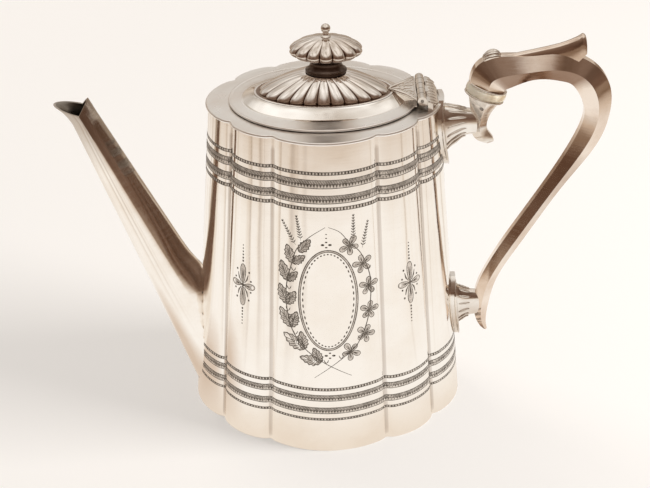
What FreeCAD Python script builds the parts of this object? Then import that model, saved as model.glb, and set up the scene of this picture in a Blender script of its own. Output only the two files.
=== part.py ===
import FreeCAD, Part
import math
import os
from FreeCAD import Vector

# Coffee pot of oval, eight lobed plan. Origin: middle of the foot. +Z is up, the spout points to -X
# and the handle to +X. Millimetres.

# Body: half sizes of the plan over the crests of the lobes, at the foot and under the shoulder
FOOT_HALF_LENGTH = 68.0
FOOT_HALF_WIDTH = 54.4
TOP_HALF_LENGTH = 53.8
TOP_HALF_WIDTH = 43.04
BODY_HEIGHT = 164.6
WALL = 1.2
BASE_THICK = 1.6

# Tallest band of the tapering sides, and the number of bands in a moulded curve
BODY_BAND = 36.0
SPOUT_BAND = 12.0
CURVE_BANDS = 4

# Lobes: where the grooves stand, in degrees from the front, and how far they lie inside the crests
FRONT_GROOVE_DEGREES = 27.5
END_GROOVE_DEGREES = 57.8
GROOVE_SHARE = 0.929
SIDE_CREST_SHARE = 0.965

# Shoulder plate, with an oval mouth set in from the lid's rim
SHOULDER_LIP = 1.2
SHOULDER_THICK = 1.6
SHOULDER_ROUND = 0.5
MOUTH_INSET_END = 6.3
MOUTH_INSET_FRONT = 7.8

# Lid: flat rim set in from the body's top, cove, step and fluted dome in one sheet
LID_GAP = 0.3
LID_SHEET = 1.0
RIM_INSET_END = 9.5
RIM_INSET_FRONT = 8.74
STEP_INSET_END = 11.9
STEP_INSET_FRONT = 16.1
COVE_RUN = 6.0
COVE_RUN_FRONT = 7.8
COVE_HEIGHT = 3.3
STEP_LEDGE = 1.9
DOME_HEIGHT = 9.8
DOME_POWER = 1.6
FLUTE_COUNT = 22
FLUTE_DEPTH = 1.0
BEZEL_CLEARANCE = 0.7
BEZEL_THICK = 1.0
BEZEL_DEPTH = 3.7

# Finial: waisted neck, fluted knob, ball, and the stud, washer and nut that hold it.
# It stands a little towards the handle.
FINIAL_X = 1.2
NECK_HALF_LENGTH = 9.2
NECK_HALF_WIDTH = 7.6
NECK_HEIGHT = 7.0
NECK_WAIST = 1.8
KNOB_HALF_LENGTH = 17.0
KNOB_HALF_WIDTH = 12.4
KNOB_HEIGHT = 10.0
KNOB_RIM_RISE = 3.6
KNOB_POWER = 1.2
KNOB_UNDER_BANDS = 2
KNOB_FOOT_SHARE = 0.45
KNOB_TOP_SHARE = 0.15
KNOB_FLUTES = 14
KNOB_FLUTE_DEPTH = 1.3
BALL_RADIUS = 2.2
BALL_STEM_RADIUS = 1.4
BALL_RISE = 3.9
STUD_RADIUS = 2.0
STUD_REACH = 6.0
WASHER_RADIUS = 5.0
WASHER_THICK = 0.8
NUT_FLATS = 7.0
NUT_HEIGHT = 3.2
STUD_TAIL = 1.0

# Hinge on the handle side, set in from the body's top
HINGE_INSET = 9.0
HINGE_RISE = 4.3
HINGE_LENGTH = 26.0
KNUCKLE_COUNT = 5
KNUCKLE_GAP = 0.3
BARREL_RADIUS = 2.1
PIN_RADIUS = 0.8
PIN_CLEARANCE = 0.05
SWING_GAP = 0.4
POT_LEAF_LENGTH = 5.3
POT_LEAF_SIDE = 1.0
POT_LEAF_EDGE = 1.2
LID_LEAF_LENGTH = 11.0
LID_LEAF_TIP = 1.4
LID_LEAF_CROWN = 0.6

# Spout: straight taper with a roofed ridge towards the pot and a round keel, then a flared lip
SPOUT_ROOT_HEIGHT = 40.0
SPOUT_LEAN_DEGREES = 25.0
SPOUT_LENGTH = 127.0
SPOUT_SUNK = 34.0
SPOUT_WALL = 1.1
RIDGE_ROOT = 17.4
RIDGE_TIP = 13.9
CREASE_ROOT = 6.2
CREASE_TIP = 7.6
KEEL_ROOT = 13.0
KEEL_TIP = -0.6
SPOUT_HALF_WIDTH_ROOT = 10.5
SPOUT_HALF_WIDTH_TIP = 7.2
LIP_LENGTH = 21.0
LIP_FLARE = 9.5
LIP_POWER = 2.2
LIP_BANDS = 4
LIP_SPREAD = 0.8
LIP_RISE = 13.5
LIP_DIP = 4.2
PEAK_RISE = 8.4

# Opening from the body into the spout
SLOT_HALF_WIDTH = 6.0
SLOT_HALF_HEIGHT = 20.0

# Handle fittings
LEAF_PLATE_THICK = 2.2
UPPER_LEAF_HALF_WIDTH = 10.0
UPPER_LEAF_DROP = 33.6
UPPER_LEAF_LAP = 1.2
LOWER_LEAF_HALF_WIDTH = 7.4
LOWER_LEAF_HALF_HEIGHT = 18.0
LOWER_ARM_HEIGHT = 50.0
LOWER_ARM_HALF_HEIGHT = 14.5
LOWER_ARM_HALF_WIDTH = 5.4
UPPER_ARM_DROP = 11.4
UPPER_ARM_HALF_HEIGHT = 14.5
UPPER_ARM_HALF_WIDTH = 7.4
SOCKET_DROP = 26.8
SOCKET_WIDTH = 13.4
RING_REACH = 21.3
RING_RISE = 4.4
RING_TILT_DEGREES = 18.5
RING_THICK = 4.2
RING_HALF_LENGTH = 9.7
RING_HALF_WIDTH = 7.6
RING_ROUND = 0.7
SPIGOT_RADIUS = 2.5
SPIGOT_LENGTH = 7.0
SOCKET_PIN_RADIUS = 0.9
SOCKET_PIN_DEPTH = 5.0
SOCKET_PIN_LENGTH = 10.0
GRIP_FLAT_SHARE = 0.36
GRIP_REACH = 51.9
GRIP_RISE = 41.3
GRIP_THICK = 18.2
GRIP_WIDTH = 13.6
THUMB_HALF_WIDTH = 3.2
TAIL_REACH = 11.0

RIM_HALF_LENGTH = TOP_HALF_LENGTH - RIM_INSET_END
RIM_HALF_WIDTH = TOP_HALF_WIDTH - RIM_INSET_FRONT
MOUTH_HALF_LENGTH = RIM_HALF_LENGTH - MOUTH_INSET_END
MOUTH_HALF_WIDTH = RIM_HALF_WIDTH - MOUTH_INSET_FRONT
STEP_HALF_LENGTH = RIM_HALF_LENGTH - STEP_INSET_END
STEP_HALF_WIDTH = RIM_HALF_WIDTH - STEP_INSET_FRONT
HINGE_X = TOP_HALF_LENGTH - HINGE_INSET
SHOULDER_TOP = BODY_HEIGHT + SHOULDER_THICK
LID_UNDER = SHOULDER_TOP + LID_GAP
LID_RIM_TOP = LID_UNDER + LID_SHEET
STEP_TOP = LID_RIM_TOP + COVE_HEIGHT
DOME_TOP = STEP_TOP + DOME_HEIGHT
HINGE_Z = SHOULDER_TOP + HINGE_RISE
BIG = 400.0


def at_height(foot, top, z):
    return foot + (top - foot) * z / BODY_HEIGHT


def body_half_length(z):
    return at_height(FOOT_HALF_LENGTH, TOP_HALF_LENGTH, z)


def body_half_width(z):
    return at_height(FOOT_HALF_WIDTH, TOP_HALF_WIDTH, z)


def prism_y(points, half_width):
    # Solid of a closed outline in the X Z plane, spread evenly to both sides of it
    corners = [Vector(x, -half_width, z) for x, z in points]
    face = Part.Face(Part.makePolygon(corners + corners[:1]))
    return face.extrude(Vector(0, 2 * half_width, 0))


def lobed_wire(half_length, half_width, z):
    # Eight arcs from groove to groove: front and ends broad, the four diagonal lobes narrow
    def spot(degrees, share):
        angle = math.radians(degrees)
        return Vector(half_length * share * math.sin(angle), -half_width * share * math.cos(angle), z)

    side_crest = (FRONT_GROOVE_DEGREES + END_GROOVE_DEGREES) / 2
    lobes = []
    for turn in (0, 180):
        lobes.append((turn - FRONT_GROOVE_DEGREES, turn, 1.0, turn + FRONT_GROOVE_DEGREES))
        lobes.append((turn + FRONT_GROOVE_DEGREES, turn + side_crest, SIDE_CREST_SHARE,
                      turn + END_GROOVE_DEGREES))
        lobes.append((turn + END_GROOVE_DEGREES, turn + 90, 1.0, turn + 180 - END_GROOVE_DEGREES))
        lobes.append((turn + 180 - END_GROOVE_DEGREES, turn + 180 - side_crest, SIDE_CREST_SHARE,
                      turn + 180 - FRONT_GROOVE_DEGREES))
    edges = []
    for start, crest, share, end in lobes:
        arc = Part.Arc(spot(start, GROOVE_SHARE), spot(crest, share), spot(end, GROOVE_SHARE))
        edges.append(arc.toShape())
    return Part.Wire(edges)


def stations(low, high, pitch):
    # Evenly spaced places from low to high, no further apart than the pitch
    count = max(1, math.ceil((high - low) / pitch))
    return [low + (high - low) * k / count for k in range(count + 1)]


def body_form(grow, low, high):
    # The tapering lobed body as a full solid between two heights, grown or shrunk all round
    wires = []
    for z in stations(low, high, BODY_BAND):
        wires.append(lobed_wire(body_half_length(z) + grow, body_half_width(z) + grow, z))
    return Part.makeLoft(wires, True, True)


def body_inside():
    return body_form(-WALL, -1, BODY_HEIGHT + 1)


def quarter_round(bands):
    # Even turns of a quarter round, as pairs of cosine and sine
    steps = []
    for k in range(bands + 1):
        angle = math.radians(90 * k / bands)
        steps.append((max(math.cos(angle), 0.0), math.sin(angle)))
    return steps


def oval_edge(half_length, half_width, z):
    return Part.Ellipse(Vector(0, 0, z), half_length, half_width).toShape()


def oval_loft(sections):
    wires = [Part.Wire([oval_edge(a, b, z)]) for a, b, z in sections]
    return Part.makeLoft(wires, True, True)


def oval_prism(half_length, half_width, low, high):
    return Part.Face(Part.Wire([oval_edge(half_length, half_width, low)])).extrude(Vector(0, 0, high - low))


def fluted_wire(half_length, half_width, z, count, depth):
    # Round ribs of even length round an oval, with sharp grooves between them
    marks = oval_edge(half_length, half_width, z).discretize(Number=2 * count + 1)
    middle = Vector(0, 0, z)
    edges = []
    for rib in range(count):
        ends = []
        for mark in (marks[2 * rib], marks[(2 * rib + 2) % (2 * count)]):
            inward = (middle - mark).normalize()
            ends.append(mark + inward * depth)
        edges.append(Part.Arc(ends[0], marks[2 * rib + 1], ends[1]).toShape())
    return Part.Wire(edges)


def slot_prism(half_width, half_height, centre_z, low_x, high_x):
    # Upright slot with round ends, run through along X
    flat = half_height - half_width
    corners = {}
    for name, y, z in (("a", -half_width, -flat), ("b", -half_width, flat), ("c", half_width, flat),
                       ("d", half_width, -flat), ("top", 0, half_height), ("foot", 0, -half_height)):
        corners[name] = Vector(low_x, y, centre_z + z)
    edges = [Part.makeLine(corners["a"], corners["b"])]
    edges.append(Part.Arc(corners["b"], corners["top"], corners["c"]).toShape())
    edges.append(Part.makeLine(corners["c"], corners["d"]))
    edges.append(Part.Arc(corners["d"], corners["foot"], corners["a"]).toShape())
    return Part.Face(Part.Wire(edges)).extrude(Vector(high_x - low_x, 0, 0))


def body_shell():
    shell = body_form(0, 0, BODY_HEIGHT).cut(body_inside())
    slot = slot_prism(SLOT_HALF_WIDTH, SLOT_HALF_HEIGHT, SPOUT_ROOT_HEIGHT, -BIG, 0)
    return shell.cut(slot)


def base_plate():
    slab = Part.makeBox(BIG, BIG, BASE_THICK, Vector(-BIG / 2, -BIG / 2, 0))
    return body_inside().common(slab)


def shoulder_plate():
    # Flat plate with a rounded edge, in the plan of the body
    sections = []
    for share, inset in ((0.0, 1.0), (0.2, 0.3), (0.5, 0.0), (0.8, 0.3), (1.0, 1.0)):
        grow = SHOULDER_LIP - inset * SHOULDER_ROUND
        z = BODY_HEIGHT + share * SHOULDER_THICK
        sections.append(lobed_wire(TOP_HALF_LENGTH + grow, TOP_HALF_WIDTH + grow, z))
    plate = Part.makeLoft(sections, True, True)
    return plate.cut(oval_prism(MOUTH_HALF_LENGTH, MOUTH_HALF_WIDTH, BODY_HEIGHT - 1, SHOULDER_TOP + 1))


def spout_place(along, up, y):
    # A point of the spout: along its run from the body wall, up towards its ridge, and across
    lean = math.radians(SPOUT_LEAN_DEGREES)
    x = -body_half_length(SPOUT_ROOT_HEIGHT) - along * math.sin(lean) + up * math.cos(lean)
    z = SPOUT_ROOT_HEIGHT + along * math.cos(lean) + up * math.sin(lean)
    return Vector(x, y, z)


def spout_section(along, ridge, crease, keel, half_width, wall):
    # Two roof flats and one round belly; the bore's section stands off by the wall
    roof_slant = math.hypot(half_width, ridge - crease)
    top = spout_place(along, ridge - wall * roof_slant / half_width, 0)
    near = spout_place(along, crease, -(half_width - wall))
    foot = spout_place(along, -(keel - wall), 0)
    far = spout_place(along, crease, half_width - wall)
    belly = Part.Arc(near, foot, far).toShape()
    return Part.Wire([Part.makeLine(top, near), belly, Part.makeLine(far, top)])


def spout_form(wall):
    # A straight taper from inside the body to the throat, then the lip opens out in a curve
    places = [(along, 0.0) for along in stations(-SPOUT_SUNK, SPOUT_LENGTH, SPOUT_BAND)]
    for k in range(1, LIP_BANDS + 1):
        places.append((SPOUT_LENGTH + LIP_LENGTH * k / LIP_BANDS, (k / LIP_BANDS) ** LIP_POWER))
    sections = []
    for along, opened in places:
        share = min(along, SPOUT_LENGTH) / SPOUT_LENGTH
        ridge = RIDGE_ROOT + (RIDGE_TIP - RIDGE_ROOT) * share
        crease = CREASE_ROOT + (CREASE_TIP - CREASE_ROOT) * share
        keel = KEEL_ROOT + (KEEL_TIP - KEEL_ROOT) * share + LIP_FLARE * opened
        half_width = SPOUT_HALF_WIDTH_ROOT + (SPOUT_HALF_WIDTH_TIP - SPOUT_HALF_WIDTH_ROOT) * share
        sections.append(spout_section(along, ridge, crease, keel, half_width + LIP_SPREAD * opened, wall))
    return Part.makeLoft(sections, True, True)


def spout_tube():
    tube = spout_form(0).cut(spout_form(SPOUT_WALL)).cut(body_form(0, 0, BODY_HEIGHT))
    # The mouth: a peak at the ridge, a dip at the two creases and a rising lip
    rim = []
    for along, up in ((SPOUT_LENGTH + PEAK_RISE, RIDGE_TIP), (SPOUT_LENGTH + LIP_DIP, CREASE_TIP),
                      (SPOUT_LENGTH + LIP_RISE, -KEEL_TIP - LIP_FLARE * 0.45)):
        rim.append(spout_place(along, up, 0))
    beyond = [spout_place(SPOUT_LENGTH + LIP_RISE + LIP_LENGTH, -KEEL_TIP - 3 * LIP_FLARE, 0)]
    beyond.append(spout_place(SPOUT_LENGTH + 3 * LIP_LENGTH, -KEEL_TIP - 3 * LIP_FLARE, 0))
    beyond.append(spout_place(SPOUT_LENGTH + 3 * LIP_LENGTH, 3 * RIDGE_TIP, 0))
    beyond.append(spout_place(SPOUT_LENGTH + PEAK_RISE + LIP_LENGTH, 3 * RIDGE_TIP, 0))
    outline = [(p.x, p.z) for p in rim + beyond]
    return tube.cut(prism_y(outline, 3 * SPOUT_HALF_WIDTH_ROOT))


def cove_sections(shift_in, drop):
    # Ovals from the flat rim up the hollow cove to the step, set in and down by a sheet where asked
    sections = []
    for cosine, sine in quarter_round(CURVE_BANDS):
        half_length = STEP_HALF_LENGTH + COVE_RUN * (1 - sine) - shift_in
        half_width = STEP_HALF_WIDTH + COVE_RUN_FRONT * (1 - sine) - shift_in
        sections.append((half_length, half_width, LID_RIM_TOP + COVE_HEIGHT * (1 - cosine) - drop))
    return sections


def dome_sections(inset, drop):
    # Half sizes of the dome from its foot to the seat of the neck
    foot_length = STEP_HALF_LENGTH - STEP_LEDGE
    foot_width = STEP_HALF_WIDTH - STEP_LEDGE
    sections = []
    for cosine, sine in quarter_round(CURVE_BANDS):
        share = cosine ** DOME_POWER
        half_length = NECK_HALF_LENGTH + (foot_length - NECK_HALF_LENGTH) * share
        half_width = NECK_HALF_WIDTH + (foot_width - NECK_HALF_WIDTH) * share
        rise = DOME_HEIGHT * sine ** DOME_POWER
        sections.append((half_length - inset, half_width - inset, STEP_TOP + rise - drop))
    return sections


def lid_form():
    rim = oval_prism(RIM_HALF_LENGTH, RIM_HALF_WIDTH, LID_UNDER, LID_RIM_TOP)
    cove = oval_loft(cove_sections(0, 0))
    ribs = []
    for half_length, half_width, z in dome_sections(0, 0):
        depth = FLUTE_DEPTH * half_length / STEP_HALF_LENGTH
        ribs.append(fluted_wire(half_length, half_width, z, FLUTE_COUNT, depth))
    dome = Part.makeLoft(ribs, True, True)
    return rim.fuse(cove).fuse(dome)


def lid_cover():
    # The hollow under the cove stays within the bezel's bore, so the bezel seats all round
    bore_length = MOUTH_HALF_LENGTH - BEZEL_CLEARANCE - BEZEL_THICK
    bore_width = MOUTH_HALF_WIDTH - BEZEL_CLEARANCE - BEZEL_THICK
    over_length = STEP_HALF_LENGTH + COVE_RUN - bore_length
    over_width = STEP_HALF_WIDTH + COVE_RUN_FRONT - bore_width
    hollow = oval_loft(cove_sections(max(LID_SHEET, over_length, over_width), LID_SHEET))
    inside = oval_loft(dome_sections(FLUTE_DEPTH + LID_SHEET, LID_SHEET + FLUTE_DEPTH / 2))
    return lid_form().cut(hollow).cut(inside).cut(stud_bore(LID_UNDER, DOME_TOP + 1))


def lid_bezel():
    half_length = MOUTH_HALF_LENGTH - BEZEL_CLEARANCE
    half_width = MOUTH_HALF_WIDTH - BEZEL_CLEARANCE
    low = LID_UNDER - BEZEL_DEPTH
    ring = oval_prism(half_length, half_width, low, LID_UNDER)
    return ring.cut(oval_prism(half_length - BEZEL_THICK, half_width - BEZEL_THICK, low - 1, LID_UNDER + 1))


def stud_bore(low, high):
    return Part.makeCylinder(STUD_RADIUS, high - low, Vector(FINIAL_X, 0, low))


def finial_neck():
    top = DOME_TOP + NECK_HEIGHT
    sections = []
    for k in range(CURVE_BANDS + 1):
        share = k / CURVE_BANDS
        inset = NECK_WAIST * (1 - math.cos(math.pi * share)) / 2
        sections.append((NECK_HALF_LENGTH - inset, NECK_HALF_WIDTH - inset, DOME_TOP + NECK_HEIGHT * share))
    neck = oval_loft(sections)
    neck.translate(Vector(FINIAL_X, 0, 0))
    return neck.cut(stud_bore(DOME_TOP - 1, top + 1))


def finial_knob():
    # Umbrella: the underside turns out from the neck to the rim, the top falls away from the tip
    foot = DOME_TOP + NECK_HEIGHT
    places = []
    for cosine, sine in reversed(quarter_round(KNOB_UNDER_BANDS)):
        places.append((KNOB_FOOT_SHARE + (1 - KNOB_FOOT_SHARE) * cosine, KNOB_RIM_RISE * (1 - sine)))
    for cosine, sine in quarter_round(CURVE_BANDS)[1:]:
        places.append((KNOB_TOP_SHARE + (1 - KNOB_TOP_SHARE) * cosine ** KNOB_POWER,
                       KNOB_RIM_RISE + (KNOB_HEIGHT - KNOB_RIM_RISE) * sine ** KNOB_POWER))
    sections = []
    for share, rise in places:
        depth = KNOB_FLUTE_DEPTH * share ** 2
        wire = fluted_wire(KNOB_HALF_LENGTH * share, KNOB_HALF_WIDTH * share, foot + rise, KNOB_FLUTES, depth)
        sections.append(wire)
    knob = Part.makeLoft(sections, True, True)
    knob.translate(Vector(FINIAL_X, 0, 0))
    return knob.cut(stud_bore(foot - 1, foot + STUD_REACH))


def finial_tip():
    seat = DOME_TOP + NECK_HEIGHT + KNOB_HEIGHT
    outline = [Vector(0, 0, seat), Vector(BALL_RADIUS, 0, seat), Vector(BALL_RADIUS, 0, seat + 0.5)]
    outline.append(Vector(BALL_STEM_RADIUS, 0, seat + 1.2))
    outline.append(Vector(BALL_STEM_RADIUS, 0, seat + BALL_RISE))
    outline.append(Vector(0, 0, seat + BALL_RISE))
    stem = Part.Face(Part.makePolygon(outline + outline[:1])).revolve(Vector(), Vector(0, 0, 1), 360)
    tip = stem.fuse(Part.makeSphere(BALL_RADIUS, Vector(0, 0, seat + BALL_RISE))).removeSplitter()
    tip.translate(Vector(FINIAL_X, 0, 0))
    return tip


def finial_fixings():
    # Washer under the crown of the dome, nut under the washer, and the stud through them all
    crown = lid_crown_under()
    washer_low = crown - WASHER_THICK
    nut_low = washer_low - NUT_HEIGHT
    washer = Part.makeCylinder(WASHER_RADIUS, WASHER_THICK, Vector(FINIAL_X, 0, washer_low))
    corner = NUT_FLATS / math.sqrt(3)
    corners = []
    for side in range(7):
        angle = math.radians(60 * side)
        corners.append(Vector(FINIAL_X + corner * math.cos(angle), corner * math.sin(angle), nut_low))
    nut = Part.Face(Part.makePolygon(corners)).extrude(Vector(0, 0, NUT_HEIGHT))
    hole = stud_bore(nut_low - 1, crown + 1)
    stud = stud_bore(nut_low - STUD_TAIL, DOME_TOP + NECK_HEIGHT + STUD_REACH)
    return {"finial_washer": washer.cut(hole), "finial_nut": nut.cut(hole), "finial_stud": stud}


def lid_crown_under():
    return DOME_TOP - LID_SHEET - FLUTE_DEPTH / 2


def knuckles(wanted, leaf_x, top):
    # Barrels of the wanted knuckles, each with a web to its leaf
    pitch = HINGE_LENGTH / KNUCKLE_COUNT
    solids = []
    for k in wanted:
        start = -HINGE_LENGTH / 2 + k * pitch + KNUCKLE_GAP / 2
        length = pitch - KNUCKLE_GAP
        end = Vector(HINGE_X, start, HINGE_Z)
        solids.append(Part.makeCylinder(BARREL_RADIUS, length, end, Vector(0, 1, 0)))
        low_x = min(HINGE_X, leaf_x)
        low_z = HINGE_Z - BARREL_RADIUS
        web = Part.makeBox(abs(leaf_x - HINGE_X), length, top - low_z, Vector(low_x, start, low_z))
        solids.append(web)
    return solids


def pin_hole(radius):
    start = Vector(HINGE_X, -HINGE_LENGTH, HINGE_Z)
    return Part.makeCylinder(radius, 2 * HINGE_LENGTH, start, Vector(0, 1, 0))


def hinge_pot_leaf():
    face_x = HINGE_X + BARREL_RADIUS + SWING_GAP
    end_x = face_x + POT_LEAF_LENGTH
    half_width = HINGE_LENGTH / 2 + POT_LEAF_SIDE
    crown = [Vector(face_x, -half_width, HINGE_Z)]
    crown.append(Vector((face_x + end_x) / 2, -half_width, SHOULDER_TOP + 0.75 * HINGE_RISE))
    crown.append(Vector(end_x, -half_width, SHOULDER_TOP + POT_LEAF_EDGE))
    foot_end = Vector(end_x, -half_width, SHOULDER_TOP)
    foot_face = Vector(face_x, -half_width, SHOULDER_TOP)
    edges = [Part.Arc(crown[0], crown[1], crown[2]).toShape(), Part.makeLine(crown[2], foot_end)]
    edges += [Part.makeLine(foot_end, foot_face), Part.makeLine(foot_face, crown[0])]
    block = Part.Face(Part.Wire(edges)).extrude(Vector(0, 2 * half_width, 0))
    plan = lobed_wire(TOP_HALF_LENGTH, TOP_HALF_WIDTH, SHOULDER_TOP - 1)
    within = Part.Face(plan).extrude(Vector(0, 0, BIG))
    leaf = block.common(within)
    for solid in knuckles(range(0, KNUCKLE_COUNT, 2), face_x + POT_LEAF_SIDE, HINGE_Z):
        leaf = leaf.fuse(solid)
    return leaf.cut(pin_hole(PIN_RADIUS)).removeSplitter()


def hinge_lid_leaf():
    # Fan in plan: broad at the barrel, drawn in by two hollow curves to a round tip on the step
    face_x = HINGE_X - BARREL_RADIUS - SWING_GAP
    tip_x = face_x - LID_LEAF_LENGTH
    half = HINGE_LENGTH / 2
    low = LID_RIM_TOP

    def spot(x, y):
        return Vector(x, y, low)

    waist_x = tip_x + 0.45 * LID_LEAF_LENGTH
    waist = 0.42 * half
    edges = [Part.makeLine(spot(face_x, -half), spot(face_x, half))]
    edges.append(Part.Arc(spot(face_x, half), spot(waist_x, waist), spot(tip_x, LID_LEAF_TIP)).toShape())
    point = spot(tip_x - LID_LEAF_TIP, 0)
    edges.append(Part.Arc(spot(tip_x, LID_LEAF_TIP), point, spot(tip_x, -LID_LEAF_TIP)).toShape())
    edges.append(Part.Arc(spot(tip_x, -LID_LEAF_TIP), spot(waist_x, -waist), spot(face_x, -half)).toShape())
    top = HINGE_Z + LID_LEAF_CROWN
    leaf = Part.Face(Part.Wire(edges)).extrude(Vector(0, 0, top - low))
    for solid in knuckles(range(1, KNUCKLE_COUNT, 2), face_x - POT_LEAF_SIDE, HINGE_Z):
        leaf = leaf.fuse(solid)
    return leaf.cut(lid_form()).cut(pin_hole(PIN_RADIUS + PIN_CLEARANCE)).removeSplitter()


def hinge_pin():
    start = Vector(HINGE_X, -HINGE_LENGTH / 2, HINGE_Z)
    return Part.makeCylinder(PIN_RADIUS, HINGE_LENGTH, start, Vector(0, 1, 0))


def leaf_plate(half_width, low, high, top_share):
    # Cast plate that hugs the end lobe: a leaf seen from the end, pointed at its foot
    broad = low + 0.58 * (high - low)

    def spot(share, z):
        return Vector(0, half_width * share, z)

    edges = [Part.Arc(spot(0, low), spot(0.72, low + 0.28 * (high - low)), spot(1, broad)).toShape()]
    edges.append(Part.Arc(spot(1, broad), spot(0.92, (broad + high) / 2), spot(top_share, high)).toShape())
    edges.append(Part.makeLine(spot(top_share, high), spot(-top_share, high)))
    edges.append(Part.Arc(spot(-top_share, high), spot(-0.92, (broad + high) / 2), spot(-1, broad)).toShape())
    edges.append(Part.Arc(spot(-1, broad), spot(-0.72, low + 0.28 * (high - low)), spot(0, low)).toShape())
    outline = Part.Face(Part.Wire(edges)).extrude(Vector(BIG, 0, 0))
    sheet = body_form(LEAF_PLATE_THICK, low - 1, high + 1).cut(body_form(0, low - 2, high + 2))
    return sheet.common(outline)


def upper_escutcheon():
    low = BODY_HEIGHT - UPPER_LEAF_DROP
    plate = leaf_plate(UPPER_LEAF_HALF_WIDTH, low, SHOULDER_TOP + UPPER_LEAF_LAP, 0.6)
    return plate.cut(shoulder_plate())


def lower_escutcheon():
    low = LOWER_ARM_HEIGHT - LOWER_LEAF_HALF_HEIGHT
    return leaf_plate(LOWER_LEAF_HALF_WIDTH, low, LOWER_ARM_HEIGHT + LOWER_LEAF_HALF_HEIGHT, 0.3)


def oval_arm(sections):
    # Arm that runs out along X through upright ovals: x, middle height, half height, half width
    wires = []
    for x, z, half_height, half_width in sections:
        long_tip = Vector(x, 0, z + half_height)
        side_tip = Vector(x, half_width, z)
        wires.append(Part.Wire([Part.Ellipse(long_tip, side_tip, Vector(x, 0, z)).toShape()]))
    return Part.makeLoft(wires, True, False)


def ring_axis():
    tilt = math.radians(RING_TILT_DEGREES)
    return Vector(math.sin(tilt), 0, math.cos(tilt))


def ring_middle():
    return Vector(TOP_HALF_LENGTH + RING_REACH, 0, BODY_HEIGHT + RING_RISE)


def above_ring(offset):
    # Half space above the plane square to the ring's axis, as a large block
    block = Part.makeBox(BIG, BIG, BIG, Vector(-BIG / 2, -BIG / 2, 0))
    block.rotate(Vector(), Vector(0, 1, 0), RING_TILT_DEGREES)
    block.translate(ring_middle() + ring_axis() * offset)
    return block


def hexagon(middle, along, thick, width):
    # Six sided section square to a direction in the X Z plane, with its ridges out to the sides
    across = Vector(along.z, 0, -along.x)
    flat = width * GRIP_FLAT_SHARE / 2
    corners = []
    for t, y in ((0.5, -flat), (0.5, flat), (0, width / 2), (-0.5, flat), (-0.5, -flat), (0, -width / 2)):
        corners.append(middle + across * (t * thick) + Vector(0, y, 0))
    return Part.makePolygon(corners + corners[:1])


def upper_socket():
    # Upright six sided socket with a beak at its foot, carried by a short arm from the leaf plate.
    # Its sections are shares of the drop, of the ring's half length and of the width
    ring = ring_middle()
    sections = []
    for drop, start, end, width in ((1.0, 0.02, 0.35, 0.22), (0.918, -0.37, 0.475, 0.45),
                                    (0.769, -0.6, 0.205, 0.625), (0.582, -0.65, 0.105, 0.715),
                                    (0.396, -0.7, 0.27, 0.79), (0.172, -0.785, 0.7, 0.925),
                                    (-0.112, -0.905, 1.07, 1.0)):
        middle = ring + Vector(RING_HALF_LENGTH * (start + end) / 2, 0, -SOCKET_DROP * drop)
        thick = RING_HALF_LENGTH * (end - start)
        sections.append(hexagon(middle, Vector(0, 0, 1), thick, SOCKET_WIDTH * width))
    socket = Part.makeLoft(sections, True, False).cut(above_ring(-RING_THICK / 2))
    z = BODY_HEIGHT - UPPER_ARM_DROP
    tall = UPPER_ARM_HALF_HEIGHT
    wide = UPPER_ARM_HALF_WIDTH
    wall_x = body_half_length(z)
    inner_x = ring.x - 0.31 * RING_HALF_LENGTH
    span = inner_x - wall_x
    arm = oval_arm([(wall_x, z - 0.28 * tall, tall, wide),
                    (wall_x + 0.3 * span, z - 0.11 * tall, 0.7 * tall, 0.68 * wide),
                    (wall_x + 0.6 * span, z, 0.51 * tall, 0.57 * wide),
                    (inner_x, z, 0.475 * tall, 0.515 * wide)])
    arm = arm.cut(body_form(LEAF_PLATE_THICK, z - 3 * tall, z + 3 * tall))
    return socket.fuse(arm).cut(spigots()).cut(pin_way()).removeSplitter()


def spigots():
    start = ring_middle() - ring_axis() * (RING_THICK / 2 + SPIGOT_LENGTH)
    return Part.makeCylinder(SPIGOT_RADIUS, RING_THICK + 2 * SPIGOT_LENGTH, start, ring_axis())


def insulator_ring():
    # Rounded oval disc square to its axis, with a spigot down into the socket and one up into the grip
    sections = []
    for k in range(CURVE_BANDS + 1):
        share = 2 * k / CURVE_BANDS - 1
        inset = RING_ROUND * (1 - math.sqrt(1 - share ** 2))
        sections.append((RING_HALF_LENGTH - inset, RING_HALF_WIDTH - inset, share * RING_THICK / 2))
    disc = oval_loft(sections)
    disc.rotate(Vector(), Vector(0, 1, 0), RING_TILT_DEGREES)
    disc.translate(ring_middle())
    return disc.fuse(spigots()).cut(pin_way()).removeSplitter()


def pin_way():
    middle = ring_middle() - ring_axis() * (RING_THICK / 2 + SOCKET_PIN_DEPTH)
    start = middle - Vector(0, RING_HALF_WIDTH, 0)
    return Part.makeCylinder(SOCKET_PIN_RADIUS, 2 * RING_HALF_WIDTH, start, Vector(0, 1, 0))


def socket_pin():
    # Cross pin through the socket and the spigot, dressed flush with the socket's sides
    middle = ring_middle() - ring_axis() * (RING_THICK / 2 + SOCKET_PIN_DEPTH)
    start = middle - Vector(0, SOCKET_PIN_LENGTH / 2, 0)
    return Part.makeCylinder(SOCKET_PIN_RADIUS, SOCKET_PIN_LENGTH, start, Vector(0, 1, 0))


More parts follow.
